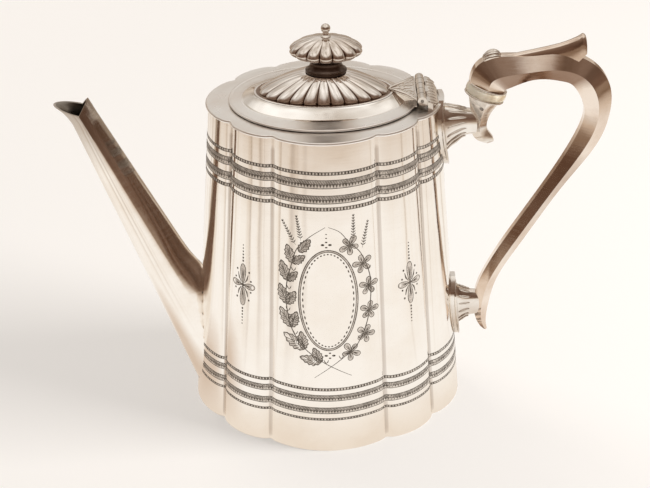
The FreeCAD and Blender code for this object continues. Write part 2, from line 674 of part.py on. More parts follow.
def grip_stations():
    # Middle line of the handle with its thickness and width, in shares of the grip's sizes: the upper
    # run hangs from the ring, the lower run from the lower arm
    ring = ring_middle()
    foot = Vector(body_half_length(LOWER_ARM_HEIGHT) + TAIL_REACH, 0, LOWER_ARM_HEIGHT)
    upper_run = ((0.085, 0.181, 0.99, 1.0), (0.295, 0.222, 0.747, 0.97), (0.557, 0.25, 0.714, 0.94),
                 (0.775, 0.21, 0.747, 0.94), (0.913, 0.102, 0.786, 0.926), (1.0, -0.116, 0.709, 0.897),
                 (0.987, -0.328, 0.626, 0.853), (0.788, -0.755, 0.505, 0.765))
    lower_run = ((0.458, 1.0, 0.45, 0.69), (0.247, 0.615, 0.429, 0.66), (0.109, 0.254, 0.44, 0.647),
                 (0.075, -0.09, 0.352, 0.56), (0.099, -0.254, 0.231, 0.397), (0.153, -0.373, 0.088, 0.19))
    rows = [(ring + ring_axis() * (RING_THICK / 2), GRIP_THICK, SOCKET_WIDTH)]
    for place, reach, run in ((ring, GRIP_REACH, upper_run), (foot, GRIP_RISE, lower_run)):
        for x, z, thick, width in run:
            middle = place + Vector(x * reach, 0, z * reach)
            rows.append((middle, GRIP_THICK * thick, GRIP_WIDTH * width))
    return rows


def handle_form():
    rows = grip_stations()
    sections = []
    for place, (middle, thick, width) in enumerate(rows):
        before = rows[max(place - 1, 0)][0]
        after = rows[min(place + 1, len(rows) - 1)][0]
        along = (after - before).normalize() if place else ring_axis()
        sections.append(hexagon(middle, along, thick, width))
    return Part.makeLoft(sections, True, False)


def handle_grip():
    return handle_form().cut(spigots())


def thumb_rest():
    # Low ridge along the top run that climbs to a turned up tip over the bend
    ring = ring_middle()

    def spot(x, z):
        return ring + Vector(x * GRIP_REACH, -THUMB_HALF_WIDTH, z * GRIP_REACH)

    heel = spot(-0.012, 0.316)
    tip = spot(0.821, 0.543)
    tip_foot = spot(0.852, 0.358)
    bend = spot(0.732, 0.231)
    heel_foot = spot(0.058, 0.193)
    rise = Part.BSplineCurve()
    rise.interpolate([heel, spot(0.062, 0.374), spot(0.154, 0.355), spot(0.366, 0.393), spot(0.626, 0.455),
                      tip])
    edges = [rise.toShape(), Part.Arc(tip, spot(0.855, 0.478), tip_foot).toShape()]
    for start, end in ((tip_foot, bend), (bend, heel_foot), (heel_foot, heel)):
        edges.append(Part.makeLine(start, end))
    outline = Part.Wire(edges)
    ridge = Part.Face(outline).extrude(Vector(0, 2 * THUMB_HALF_WIDTH, 0))
    pieces = ridge.cut(handle_form()).Solids
    return max(pieces, key=lambda solid: solid.Volume)


def lower_arm():
    wall_x = body_half_length(LOWER_ARM_HEIGHT)
    z = LOWER_ARM_HEIGHT
    tall = LOWER_ARM_HALF_HEIGHT
    wide = LOWER_ARM_HALF_WIDTH
    sections = []
    for out, rise, height, width in ((0.0, 0.0, 1.0, 1.0), (0.364, 0.028, 0.69, 0.815),
                                     (0.636, 0.062, 0.566, 0.704), (1.364, 0.062, 0.552, 0.667)):
        sections.append((wall_x + TAIL_REACH * out, z + tall * rise, tall * height, wide * width))
    arm = oval_arm(sections).cut(body_form(LEAF_PLATE_THICK, z - 3 * tall, z + 3 * tall)).cut(handle_form())
    return max(arm.Solids, key=lambda solid: solid.Volume)


def build():
    nodes = {
        "body_shell": body_shell(),
        "base_plate": base_plate(),
        "shoulder_plate": shoulder_plate(),
        "spout_tube": spout_tube(),
        "lid_cover": lid_cover(),
        "lid_bezel": lid_bezel(),
        "finial_neck": finial_neck(),
        "finial_knob": finial_knob(),
        "finial_tip": finial_tip(),
        "hinge_pot_leaf": hinge_pot_leaf(),
        "hinge_lid_leaf": hinge_lid_leaf(),
        "hinge_pin": hinge_pin(),
        "upper_escutcheon": upper_escutcheon(),
        "upper_socket": upper_socket(),
        "insulator_ring": insulator_ring(),
        "socket_pin": socket_pin(),
        "handle_grip": handle_grip(),
        "thumb_rest": thumb_rest(),
        "lower_escutcheon": lower_escutcheon(),
        "lower_arm": lower_arm(),
    }
    nodes.update(finial_fixings())
    os.makedirs("parts", exist_ok=True)
    for name, shape in nodes.items():
        shape.exportStep("parts/" + name + ".step")
        box = shape.BoundBox
        print(name, "solids", len(shape.Solids), "valid", shape.isValid(), "volume", round(shape.Volume, 1),
              "x", round(box.XMin, 1), round(box.XMax, 1), "y", round(box.YMin, 1), round(box.YMax, 1),
              "z", round(box.ZMin, 1), round(box.ZMax, 1))


build()
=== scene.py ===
from functools import lru_cache
from math import atan2, copysign, cos, hypot, pi, radians, sin, sqrt

import bmesh
import bpy
from mathutils import Matrix, Vector, noise


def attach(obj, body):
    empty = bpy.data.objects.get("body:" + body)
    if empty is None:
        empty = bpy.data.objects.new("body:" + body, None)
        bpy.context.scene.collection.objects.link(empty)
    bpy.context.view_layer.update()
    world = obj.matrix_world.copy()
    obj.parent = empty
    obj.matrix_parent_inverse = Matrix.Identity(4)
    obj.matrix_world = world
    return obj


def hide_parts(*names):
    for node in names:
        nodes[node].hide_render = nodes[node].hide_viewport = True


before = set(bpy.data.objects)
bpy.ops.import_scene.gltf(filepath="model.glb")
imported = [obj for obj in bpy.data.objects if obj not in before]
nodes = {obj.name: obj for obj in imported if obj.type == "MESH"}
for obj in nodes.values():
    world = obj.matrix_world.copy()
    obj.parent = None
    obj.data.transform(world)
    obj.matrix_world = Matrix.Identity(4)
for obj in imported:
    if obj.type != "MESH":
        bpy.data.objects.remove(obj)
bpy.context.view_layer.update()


# Body: eight lobes raised from silver plated sheet, tapering to the top and open at both ends.
# It is soldered to the base plate and the shoulder. A slot behind the spout lets the coffee out.
MM = 0.001
FOOT_HALF = (68.0, 54.4)
TOP_HALF = (53.8, 43.04)
BODY_HEIGHT = 164.6
BODY_WALL = 1.2
FOOT_ROUND = ((-0.5, 0.0), (-0.15, 0.15))
FOOT_ROUND_TOP = 0.5
OUTER_STEPS = 55
INNER_STEPS = 8
GROOVES = (-27.5, 27.5, 57.8, 122.2, 152.5)
CRESTS = ((0, 1.0), (42.65, 0.965), (90, 1.0), (137.35, 0.965))
GROOVE_SHARE = 0.929
LOBE_STEPS = 26
ROLL_DEPTH = 0.9
ROLL_RUN = 4.5
HAMMER_DEPTH = 0.16
HAMMER_PITCH = 0.045
SLOT_ENDS = (-72.0, -52.0)
SLOT_MIDDLE = 40.0
SLOT_RADIUS = 6.0
SLOT_STRAIGHT = 14.0
SLOT_POINTS = 32
LOBES = []
for turn in (0, 180):
    for start, end, (crest, share) in zip(GROOVES, GROOVES[1:], CRESTS):
        LOBES.append((turn + start, turn + crest, share, turn + end))


def feed(tree, made, feeds):
    # Each input of a node takes another node's output or holds a value
    for name, given in feeds.items():
        if isinstance(given, bpy.types.NodeSocket):
            tree.links.new(given, made.inputs[name])
        else:
            made.inputs[name].default_value = given


def add_node(tree, kind, output, feeds=None, **settings):
    # A shader node; gives the output asked for, or the whole node if none is
    made = tree.nodes.new("ShaderNode" + kind)
    for name, setting in settings.items():
        setattr(made, name, setting)
    feed(tree, made, feeds or {})
    return made if output is None else made.outputs[output]


def ramp(tree, share, *stops):
    # Colours that follow a share; the first two stops are the ones that a new ramp has
    made = add_node(tree, "ValToRGB", None, {"Fac": share})
    for k, (position, colour) in enumerate(stops):
        marks = made.color_ramp.elements
        mark = marks[k] if k < 2 else marks.new(position)
        mark.position = position
        mark.color = (*colour, 1.0)
    return made.outputs["Color"]


def mixed(tree, how, share, first, second):
    return add_node(tree, "Mix", 2, {0: share, 6: first, 7: second},
                    data_type="RGBA", blend_type=how)


def speckle(tree, place, scale, detail, roughness=0.5):
    return add_node(tree, "TexNoise", "Fac", {"Vector": place, "Scale": scale, "Detail": detail,
                                              "Roughness": roughness})


def spread(tree, given, low=0.0, high=1.0, to_low=0.0, to_high=1.0):
    return add_node(tree, "MapRange", "Result", {"Value": given, "From Min": low, "From Max": high,
                                                 "To Min": to_low, "To Max": to_high})


def new_finish(name, metallic):
    finish = bpy.data.materials.new(name)
    finish.use_nodes = True
    shader = finish.node_tree.nodes["Principled BSDF"]
    shader.inputs["Metallic"].default_value = metallic
    return finish, finish.node_tree, shader


def silver_plate(name, bright, worn, smooth, rough, scuff=0.03, recess=0.0):
    # Plated silver: clouds of thin tarnish, wiping marks round the pot and fine handling scratches
    finish, tree, shader = new_finish(name, 1.0)
    place = add_node(tree, "TexCoord", "Object")
    colour = ramp(tree, speckle(tree, place, 34.0, 5.0, 0.6), (0.3, worn), (0.58, bright))
    if recess:
        # Painted shade, with some tarnish: the plate darkens in its hollows and creases
        hollow = add_node(tree, "NewGeometry", "Pointiness")
        hollow_shade_and_tarnish = ramp(tree, hollow, (0.5 - recess, (0.3, 0.22, 0.17)), (0.5, (1.0, 1.0, 1.0)))
        colour = mixed(tree, "MULTIPLY", 1.0, colour, hollow_shade_and_tarnish)
    stretch = add_node(tree, "Mapping", "Vector", {"Vector": place, "Scale": (90.0, 90.0, 900.0)})
    wipe = speckle(tree, stretch, 1.0, 6.0)
    dents = speckle(tree, place, 55.0, 2.0)
    hammer = add_node(tree, "Bump", "Normal",
                      {"Height": dents, "Strength": 0.25, "Distance": 0.0004})
    scratch = add_node(tree, "Bump", "Normal", {"Height": wipe, "Strength": scuff,
                                                "Distance": 0.0003, "Normal": hammer})
    sheen = spread(tree, wipe, 0.3, 0.7, smooth, rough)
    feed(tree, shader, {"Base Color": colour, "Roughness": sheen, "Normal": scratch})
    return finish


def taper(z, grow=0.0):
    # Half length and half width of the body at a height
    share = z / BODY_HEIGHT
    return [foot + (top - foot) * share + grow for foot, top in zip(FOOT_HALF, TOP_HALF)]


def lobe_arcs(half_length, half_width):
    # Each lobe of the plan as a circle: middle, radius, angle of the crest, and both ends from it
    def spot(degrees, share):
        angle = radians(degrees)
        return Vector((half_length * share * sin(angle), -half_width * share * cos(angle)))

    arcs = []
    for start, crest, share, end in LOBES:
        a, b, c = spot(start, GROOVE_SHARE), spot(crest, share), spot(end, GROOVE_SHARE)
        d = 2 * (a.x * (b.y - c.y) + b.x * (c.y - a.y) + c.x * (a.y - b.y))
        aa, bb, cc = a.length_squared, b.length_squared, c.length_squared
        middle = Vector(((aa * (b.y - c.y) + bb * (c.y - a.y) + cc * (a.y - b.y)) / d,
                         (aa * (c.x - b.x) + bb * (a.x - c.x) + cc * (b.x - a.x)) / d))
        out = b - middle
        turns = []
        for tip in (a - middle, c - middle):
            turns.append(atan2(out.x * tip.y - out.y * tip.x, out.dot(tip)))
        arcs.append((middle, out.length, atan2(out.y, out.x), turns[0], turns[1]))
    return arcs


def lobed_ring(half_length, half_width, z, soft=0.9):
    # The plan at one height: each lobe rolls over near its ends into a narrow hollow
    arcs = lobe_arcs(half_length, half_width)

    def on_arc(arc, turn):
        middle, radius, crest, start, end = arc
        edge = min(turn - start, end - turn) * radius
        radius -= ROLL_DEPTH * max(1 - edge / ROLL_RUN, 0.0) ** 2
        return Vector((middle.x + radius * cos(crest + turn),
                       middle.y + radius * sin(crest + turn)))

    ring = []
    for k, arc in enumerate(arcs):
        after = arcs[(k + 1) % len(arcs)]
        trim = soft / arc[1]
        first, last = arc[3] + trim, arc[4] - trim
        for s in range(LOBE_STEPS + 1):
            share = 0.5 - 0.5 * cos(pi * s / LOBE_STEPS)
            ring.append(on_arc(arc, first + (last - first) * share))
        leave, groove = ring[-1], on_arc(arc, arc[4])
        enter = on_arc(after, after[3] + soft / after[1])
        for t in (0.25, 0.5, 0.75):
            ring.append(leave * (1 - t) ** 2 + groove * 2 * t * (1 - t) + enter * t ** 2)
    return [Vector((p.x, p.y, z)) for p in ring]


def new_piece(name, points, faces):
    # A mesh of points in millimetres, put into the scene
    mesh = bpy.data.meshes.new(name)
    mesh.from_pydata([p * MM for p in points], [], faces)
    piece = bpy.data.objects.new(name, mesh)
    bpy.context.scene.collection.objects.link(piece)
    return piece


def rounded(piece):
    # Turns all faces outwards and shades them round
    shell = bmesh.new()
    shell.from_mesh(piece.data)
    bmesh.ops.recalc_face_normals(shell, faces=shell.faces)
    shell.to_mesh(piece.data)
    shell.free()
    piece.data.polygons.foreach_set("use_smooth", [True] * len(piece.data.polygons))


def band_faces(first, rings, count, closed, capped):
    # Faces between rings of points that are numbered on from the first
    faces = []
    for k in range(rings if closed else rings - 1):
        low, high = first + k * count, first + (k + 1) % rings * count
        for j in range(count):
            nxt = (j + 1) % count
            faces.append((low + j, low + nxt, high + nxt, high + j))
    if capped:
        last = first + (rings - 1) * count
        faces.append(tuple(reversed(range(first, first + count))))
        faces.append(tuple(range(last, last + count)))
    return faces


def skin(name, rings, closed=False, capped=False):
    # A round shaded mesh through rings that have the same count of points
    faces = band_faces(0, len(rings), len(rings[0]), closed, capped)
    piece = new_piece(name, [p for ring in rings for p in ring], faces)
    rounded(piece)
    return piece


def crisp(piece, degrees):
    # Keeps edges turned by more than this sharp, and the flats between them flat
    piece.data.set_sharp_from_angle(angle=radians(degrees))
    flats = piece.modifiers.new("flats", "WEIGHTED_NORMAL")
    flats.keep_sharp = True


def coat(piece, *finishes):
    for finish in finishes:
        piece.data.materials.append(finish)


def hammered(p):
    # The sheet is never quite true: a slow wave left by the hammer
    lift = HAMMER_DEPTH * noise.noise(p * HAMMER_PITCH)
    return Vector((p.x, p.y, 0)).normalized() * lift


@lru_cache(None)
def wall_ring(z, lift):
    return [p + hammered(p) for p in lobed_ring(*taper(z, lift), z)]


body_rings = [lobed_ring(*taper(z, grow), z) for grow, z in FOOT_ROUND]
for k in range(OUTER_STEPS + 1):
    z = FOOT_ROUND_TOP + (BODY_HEIGHT - FOOT_ROUND_TOP) * k / OUTER_STEPS
    body_rings.append(wall_ring(z, 0.0))
for k in range(INNER_STEPS + 1):
    z = BODY_HEIGHT * (1 - k / INNER_STEPS)
    body_rings.append(lobed_ring(*taper(z, -BODY_WALL), z))
pot_body = skin("pot_body", body_rings, closed=True)

slot_rings = [[], []]
for k in range(SLOT_POINTS):
    angle = radians(360 * (k + 0.5) / SLOT_POINTS)
    rise = SLOT_RADIUS * sin(angle) + copysign(SLOT_STRAIGHT, sin(angle))
    for ring, x in zip(slot_rings, SLOT_ENDS):
        ring.append(Vector((x, SLOT_RADIUS * cos(angle), SLOT_MIDDLE + rise)))
slot_cutter = skin("slot_cutter", slot_rings, capped=True)
cut = pot_body.modifiers.new("slot", "BOOLEAN")
cut.object = slot_cutter
cut.solver = "EXACT"
view = bpy.context.evaluated_depsgraph_get()
slotted = bpy.data.meshes.new_from_object(pot_body.evaluated_get(view))
pot_body.modifiers.clear()
pot_body.data = slotted
bpy.data.objects.remove(slot_cutter)
crisp(pot_body, 40)
body_silver = silver_plate("body_silver", (0.96, 0.92, 0.87), (0.91, 0.85, 0.78), 0.05, 0.13,
                           recess=0.05)
coat(pot_body, body_silver)
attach(pot_body, "pot")
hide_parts("body_shell")


# Base plate: flat sheet of the same plate let into the foot of the body and soldered round.
# It keeps its solid, with the scuffs of years of table tops.
base_silver = silver_plate("base_silver", (0.78, 0.73, 0.67), (0.5, 0.42, 0.34), 0.25, 0.5, 0.2)


def dress(node, finish):
    nodes[node].data.materials.clear()
    coat(nodes[node], finish)


dress("base_plate", base_silver)


# Engraved bands: two sets of four run right round the lobes, cut with a graver in the raised body.
# The outer lines of each set are beaded; the inner two are hatched above a row of small teeth.
BEADED_BANDS = ((150.0, 151.7), (132.3, 134.2), (35.4, 37.1), (18.3, 19.7))
BEAD_PITCH = 1.5
BEAD_EDGE = 0.32
BEAD_INSET = 0.3
HATCHED_BANDS = ((143.4, 147.8), (135.8, 140.1), (29.5, 33.1), (22.2, 25.9))
HATCH_PITCH = 1.45
HATCH_EDGE = 0.35
HATCH_INSET = 0.4
HATCH_STROKE = 0.28
HATCH_LEAN = 0.5
TOOTH_INSET = 0.5
HALF_MIDDLE_LINE = 0.15
CUT_LIFT = 0.035
GROUND_LIFT = CUT_LIFT * 0.5
DEEP, LIGHT = 0, 1


def cut_metal(name, pale, dark, gloss):
    # Graver's cuts: bright facets with black polish left in the bottoms
    finish, tree, shader = new_finish(name, 0.75)
    place = add_node(tree, "TexCoord", "Object")
    grit = speckle(tree, place, 420.0, 4.0)
    tone = ramp(tree, grit, (0.38, dark), (0.66, pale))
    sheen = spread(tree, grit, to_low=gloss, to_high=gloss + 0.3)
    chatter = add_node(tree, "Bump", "Normal",
                       {"Height": grit, "Strength": 0.35, "Distance": 0.0002})
    feed(tree, shader, {"Base Color": tone, "Roughness": sheen, "Normal": chatter})
    return finish


deep_cut = cut_metal("deep_cut", (0.26, 0.23, 0.2), (0.1, 0.085, 0.07), 0.35)
light_cut = cut_metal("light_cut", (0.84, 0.79, 0.73), (0.58, 0.53, 0.48), 0.25)


def on_wall(step, z, lift):
    ring = wall_ring(z, lift)
    j = int(step)
    return ring[j % len(ring)].lerp(ring[(j + 1) % len(ring)], step - j)


def lengths_round(ring):
    # Running length round a ring of points, back to the first
    run = [0.0]
    for a, b in zip(ring, ring[1:] + ring[:1]):
        run.append(run[-1] + (b - a).length)
    return run


def even_marks(run, count):
    # Places that divide a running length evenly, as counts along it
    marks, j = [], 0
    for k in range(count):
        goal = run[-1] * k / count
        while run[j + 1] < goal:
            j += 1
        marks.append(j + (goal - run[j]) / (run[j + 1] - run[j]))
    return marks


def even_spans(z, pitch):
    # Spans of about one pitch round the wall, as counts along its ring
    run = lengths_round(wall_ring(z, 0.0))
    steps = even_marks(run, round(run[-1] / pitch)) + [len(run) - 1]
    return list(zip(steps, steps[1:]))


def wall_cut(cuts, corners, tone=DEEP, lift=CUT_LIFT):
    cuts.append(([on_wall(step, z, lift) for step, z in corners], tone))


def line_round(cuts, low, high, tone=DEEP, lift=CUT_LIFT):
    for j in range(len(wall_ring(low, lift))):
        wall_cut(cuts, ((j, low), (j + 1, low), (j + 1, high), (j, high)), tone, lift)


def band_ground(cuts, low, high, edge):
    # Two deep lines with a lighter ground between them
    line_round(cuts, low, low + edge)
    line_round(cuts, high - edge, high)
    line_round(cuts, low + edge, high - edge, LIGHT, GROUND_LIFT)


def engraving(name, cuts):
    # One thin piece of many cuts: each a list of points on the wall and its tone
    points, faces = [], []
    for cut, tone in cuts:
        faces.append(tuple(range(len(points), len(points) + len(cut))))
        points += cut
    piece = new_piece(name, points, faces)
    coat(piece, deep_cut, light_cut)
    piece.data.polygons.foreach_set("material_index", [tone for cut, tone in cuts])
    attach(piece, "pot")


bead_cuts = []
for low, high in BEADED_BANDS:
    band_ground(bead_cuts, low, high, BEAD_EDGE)
    foot, top = low + BEAD_INSET, high - BEAD_INSET
    for a, after in even_spans((low + high) / 2, BEAD_PITCH):
        b = a + (after - a) * 0.5
        wall_cut(bead_cuts, ((a, foot), (b, foot), (b, top), (a, top)))
engraving("beaded_bands", bead_cuts)

hatch_cuts = []
for low, high in HATCHED_BANDS:
    band_ground(hatch_cuts, low, high, HATCH_EDGE)
    middle, top = low + (high - low) * 0.5, high - HATCH_INSET
    line_round(hatch_cuts, middle - HALF_MIDDLE_LINE, middle + HALF_MIDDLE_LINE)
    for a, b in even_spans((low + high) / 2, HATCH_PITCH):
        wide = b - a
        wall_cut(hatch_cuts, ((a, middle), (b, middle), (a + wide * 0.5, low + TOOTH_INSET)))
        stroke = wide * HATCH_STROKE
        for foot in (a, a + wide * 0.5):
            head = foot + wide * HATCH_LEAN
            wall_cut(hatch_cuts, ((foot, middle), (foot + stroke, middle), (head + stroke, top),
                                  (head, top)))
engraving("hatched_bands", hatch_cuts)


# Engraved wreath: on the front lobe two branches cross under a plain oval and meet above it.
# The left one bears cut leaves, the right one blossoms, with feathery sprigs above.
# All of it is graver's work in the raised body.
FRONT_LOBE = 0
OVAL_MIDDLE = (0.74, 85.4)
OVAL_HALF = (14.2, 26.9)
OVAL_FRAME = 0.9
OVAL_DASHES = 48
DASH_INSET = 2.1
DASH_TURN = 0.038
LEFT_BRANCH = ((-0.3, 124.1), (-5.6, 120.5), (-9.6, 116.9), (-14.0, 111.5), (-16.8, 102.5),
               (-19.2, 92.6), (-19.6, 81.8), (-17.2, 69.2), (-11.2, 59.4), (-2.5, 52.2),
               (5.0, 47.4), (11.6, 43.4))
RIGHT_BRANCH = ((1.2, 124.1), (6.3, 121.4), (11.1, 115.1), (15.9, 109.7), (19.5, 101.6),
                (21.5, 92.6), (21.1, 80.0), (19.1, 70.1), (15.1, 61.2), (11.9, 57.6),
                (3.1, 50.4), (-6.4, 42.9))
LEAVES = ((-16.0, 104.3, -18.6, 113.6), (-16.0, 104.3, -9.8, 109.0), (-18.8, 94.4, -21.8, 104.6),
          (-18.8, 94.4, -13.6, 100.0), (-19.2, 81.8, -23.0, 92.0), (-19.2, 81.8, -14.8, 89.4),
          (-17.2, 69.7, -23.0, 79.4), (-17.2, 69.7, -14.4, 78.6), (-11.2, 58.5, -21.4, 65.8),
          (-11.2, 58.5, -12.6, 68.2), (-3.3, 51.7, -13.4, 54.0), (-3.3, 51.7, -6.6, 59.8),
          (-12.6, 110.6, -7.2, 117.6))
LEAF_FULLNESS = 0.27
LEAF_TEETH = 5
TOOTH_TIP = 1.06
TOOTH_NICK = 0.76
BLOSSOMS = ((10.9, 113.8, 40), (17.2, 103.2, 15), (20.4, 90.8, 0), (20.7, 77.6, -10),
            (18.7, 65.2, -25), (11.3, 56.8, -40))
PETALS = (4.3, 5.0, 4.3, 4.3, 5.0)
PETAL_FOOT = 0.5
PETAL_STRETCH = 1.12
BLOSSOM_EYE = 0.5
SPRIGS = ((-14.2, 114.0, -20.8, 126.0), (-11.6, 116.6, -13.6, 129.5), (12.7, 116.0, 12.7, 129.9),
          (17.1, 111.5, 20.0, 125.2))
BARBS = 9
BARB_REACH = 1.3
BARB_RISE = 1.1
BARB_LESS = 0.1
BARB_PITCH = 0.1
BUDS = ((-15.5, 100.2), (-18.0, 90.0), (-18.8, 78.2), (-15.3, 66.0), (20.4, 99.4), (22.0, 86.6),
        (19.6, 74.2), (16.0, 63.0), (-0.6, 51.2), (6.6, 53.4))
BUD_CURL = ((0.0, 0.0), (0.7, 0.9), (1.1, 2.0))
BERRIES = ((0.1, 120.6, 0.4), (0.1, 118.6, 0.45), (0.1, 116.5, 0.6), (-1.6, 115.1, 0.85),
           (1.8, 115.1, 0.85), (0.1, 113.8, 0.6), (1.2, 57.0, 0.6), (-0.6, 55.6, 0.85),
           (3.0, 55.6, 0.85), (1.2, 54.2, 0.6))
BERRY_SQUASH = 0.62
THIN_END = 0.35


def on_lobe(lobe, s, z, lift):
    # A point of one lobe: s millimetres round from its crest, at a height
    middle, radius, crest = lobe_arcs(*taper(z))[lobe][:3]
    turn = crest + s / radius
    out = Vector((cos(turn), sin(turn), 0))
    flat = Vector((middle.x + radius * cos(turn), middle.y + radius * sin(turn), z))
    return flat + out * lift + hammered(flat)


def graver_line(work, path, wide, tone=DEEP, lift=CUT_LIFT, thin_ends=True):
    # A cut that swells in its middle, along a path of places on the lobe that is worked on
    lobe, cuts = work
    sides = []
    for k, (s, z) in enumerate(path):
        before, after = path[max(k - 1, 0)], path[min(k + 1, len(path) - 1)]
        across = Vector((before[1] - after[1], after[0] - before[0])).normalized()
        swell = THIN_END + (1 - THIN_END) * sin(pi * (k / (len(path) - 1))) if thin_ends else 1.0
        off = across * (wide / 2 * swell)
        sides.append([on_lobe(lobe, s + off.x * n, z + off.y * n, lift) for n in (-1, 1)])
    for (a, b), (c, d) in zip(sides, sides[1:]):
        cuts.append(([a, c, d, b], tone))


def graver_patch(work, outline):
    # Light ground within an outline
    lobe, cuts = work
    middle = [sum(p[i] for p in outline) / len(outline) for i in (0, 1)]
    hub, *rim = [on_lobe(lobe, s, z, GROUND_LIFT) for s, z in [middle] + outline]
    for a, b in zip(rim, rim[1:] + rim[:1]):
        cuts.append(([hub, a, b], LIGHT))


def cut_dot(work, s, z, half_wide, half_high):
    lobe, cuts = work
    turns = [radians(36 * k) for k in range(10)]
    cuts.append(([on_lobe(lobe, s + half_wide * cos(t), z + half_high * sin(t), CUT_LIFT)
                  for t in turns], DEEP))


def smooth_path(points, per_span):
    # An even curve through all the points
    path = []
    for k in range(len(points) - 1):
        a, b, c, d = [Vector(points[min(max(k + n, 0), len(points) - 1)]) for n in (-1, 0, 1, 2)]
        for s in range(per_span):
            t = s / per_span
            path.append(tuple(0.5 * (2 * b + (c - a) * t + (2 * a - 5 * b + 4 * c - d) * t ** 2
                                     + (3 * b - a - 3 * c + d) * t ** 3)))
    return path + [tuple(points[-1])]


def blade(foot, tip):
    # Places on a leaf, by the share of its length and the distance out to one side
    foot, run = Vector(foot), Vector(tip) - Vector(foot)
    across = Vector((-run.y, run.x)).normalized()

    def place(share, out=0.0):
        return tuple(foot + run * share + across * out)

    return place, run.length


def cut_leaf(work, foot, tip):
    # Pointed leaf with a toothed edge, shaded by slanting cuts from its vein
    place, length = blade(foot, tip)

    def breadth(share):
        return LEAF_FULLNESS * length * sin(pi * share ** 0.8) ** 0.8

    edges = []
    for side in (-1, 1):
        edge = []
        for k in range(LEAF_TEETH * 2 + 1):
            share = k / (LEAF_TEETH * 2)
            edge.append(place(share, side * breadth(share) * (TOOTH_TIP if k % 2 else TOOTH_NICK)))
        edges.append(edge)
        graver_line(work, edge, wide=0.5, thin_ends=False)
        for k in range(1, LEAF_TEETH + 2):
            share = k / (LEAF_TEETH + 2)
            out = side * breadth(share)
            graver_line(work, [place(share * 0.6), place(share * 0.8, out * 0.45),
                               place(share, out * 0.9)], wide=0.36)
    graver_patch(work, edges[0] + edges[1][::-1][1:-1])
    graver_line(work, [place(0), place(0.5, 0.1), place(0.95)], wide=0.36)


def cut_petal(work, foot, tip, fullness):
    # Round ended petal with three shading cuts
    place, length = blade(foot, tip)
    rim = []
    for k in range(14):
        angle = 2 * pi * k / 14
        share = 0.5 - 0.5 * cos(angle)
        rim.append(place(share, fullness * length * sin(angle) * (0.55 + 0.6 * share)))
    graver_patch(work, rim)
    graver_line(work, rim + rim[:1], wide=0.34, thin_ends=False)
    for lean in (-0.5, 0.0, 0.5):
        path = [place(share, lean * fullness * length * share) for share in (0, 0.4, 0.75)]
        graver_line(work, path, wide=0.3)


def on_oval(angle, inset):
    return (OVAL_MIDDLE[0] + (OVAL_HALF[0] - inset) * cos(angle),
            OVAL_MIDDLE[1] + (OVAL_HALF[1] - inset) * sin(angle))


wreath_cuts = []
wreath = (FRONT_LOBE, wreath_cuts)
for branch in (LEFT_BRANCH, RIGHT_BRANCH):
    graver_line(wreath, smooth_path(branch, 6), wide=0.5)
for ends in LEAVES:
    cut_leaf(wreath, ends[:2], ends[2:])
for s, z, lean in BLOSSOMS:
    for k, reach in enumerate(PETALS):
        angle = radians(90 + lean + 72 * k)
        foot = (s + PETAL_FOOT * cos(angle), z + PETAL_FOOT * sin(angle))
        tip = (s + reach * cos(angle), z + reach * PETAL_STRETCH * sin(angle))
        cut_petal(wreath, foot, tip, fullness=0.33)
    cut_dot(wreath, s, z, BLOSSOM_EYE, BLOSSOM_EYE)
for ends in SPRIGS:
    place, length = blade(ends[:2], ends[2:])
    graver_line(wreath, [place(t) for t in (0, 0.5, 1)], wide=0.3)
    for k in range(BARBS):
        for side in (-1, 1):
            out, along = side * (BARB_REACH - BARB_LESS * k), BARB_RISE / length
            barb = [place(BARB_PITCH * (k + 1) + along * t, out * t) for t in (0, 0.5, 1)]
            graver_line(wreath, barb, wide=0.5)
for s, z in BUDS:
    for side in (-1, 1):
        graver_line(wreath, [(s + side * out, z + up) for out, up in BUD_CURL], wide=0.5)
for s, z, size in BERRIES:
    cut_dot(wreath, s, z, size, size * BERRY_SQUASH)
for inset, wide, tone, lift in ((0.0, 0.42, DEEP, CUT_LIFT), (OVAL_FRAME, 0.36, DEEP, CUT_LIFT),
                                (OVAL_FRAME / 2, 0.7, LIGHT, GROUND_LIFT)):
    line = [on_oval(radians(5 * k), inset) for k in range(73)]
    graver_line(wreath, line, wide, tone, lift, thin_ends=False)
for k in range(OVAL_DASHES):
    angle = radians(360 / OVAL_DASHES * k)
    dash = [on_oval(angle + turn, DASH_INSET) for turn in (-DASH_TURN, 0.0, DASH_TURN)]
    graver_line(wreath, dash, wide=0.75)
engraving("wreath_cuts", wreath_cuts)


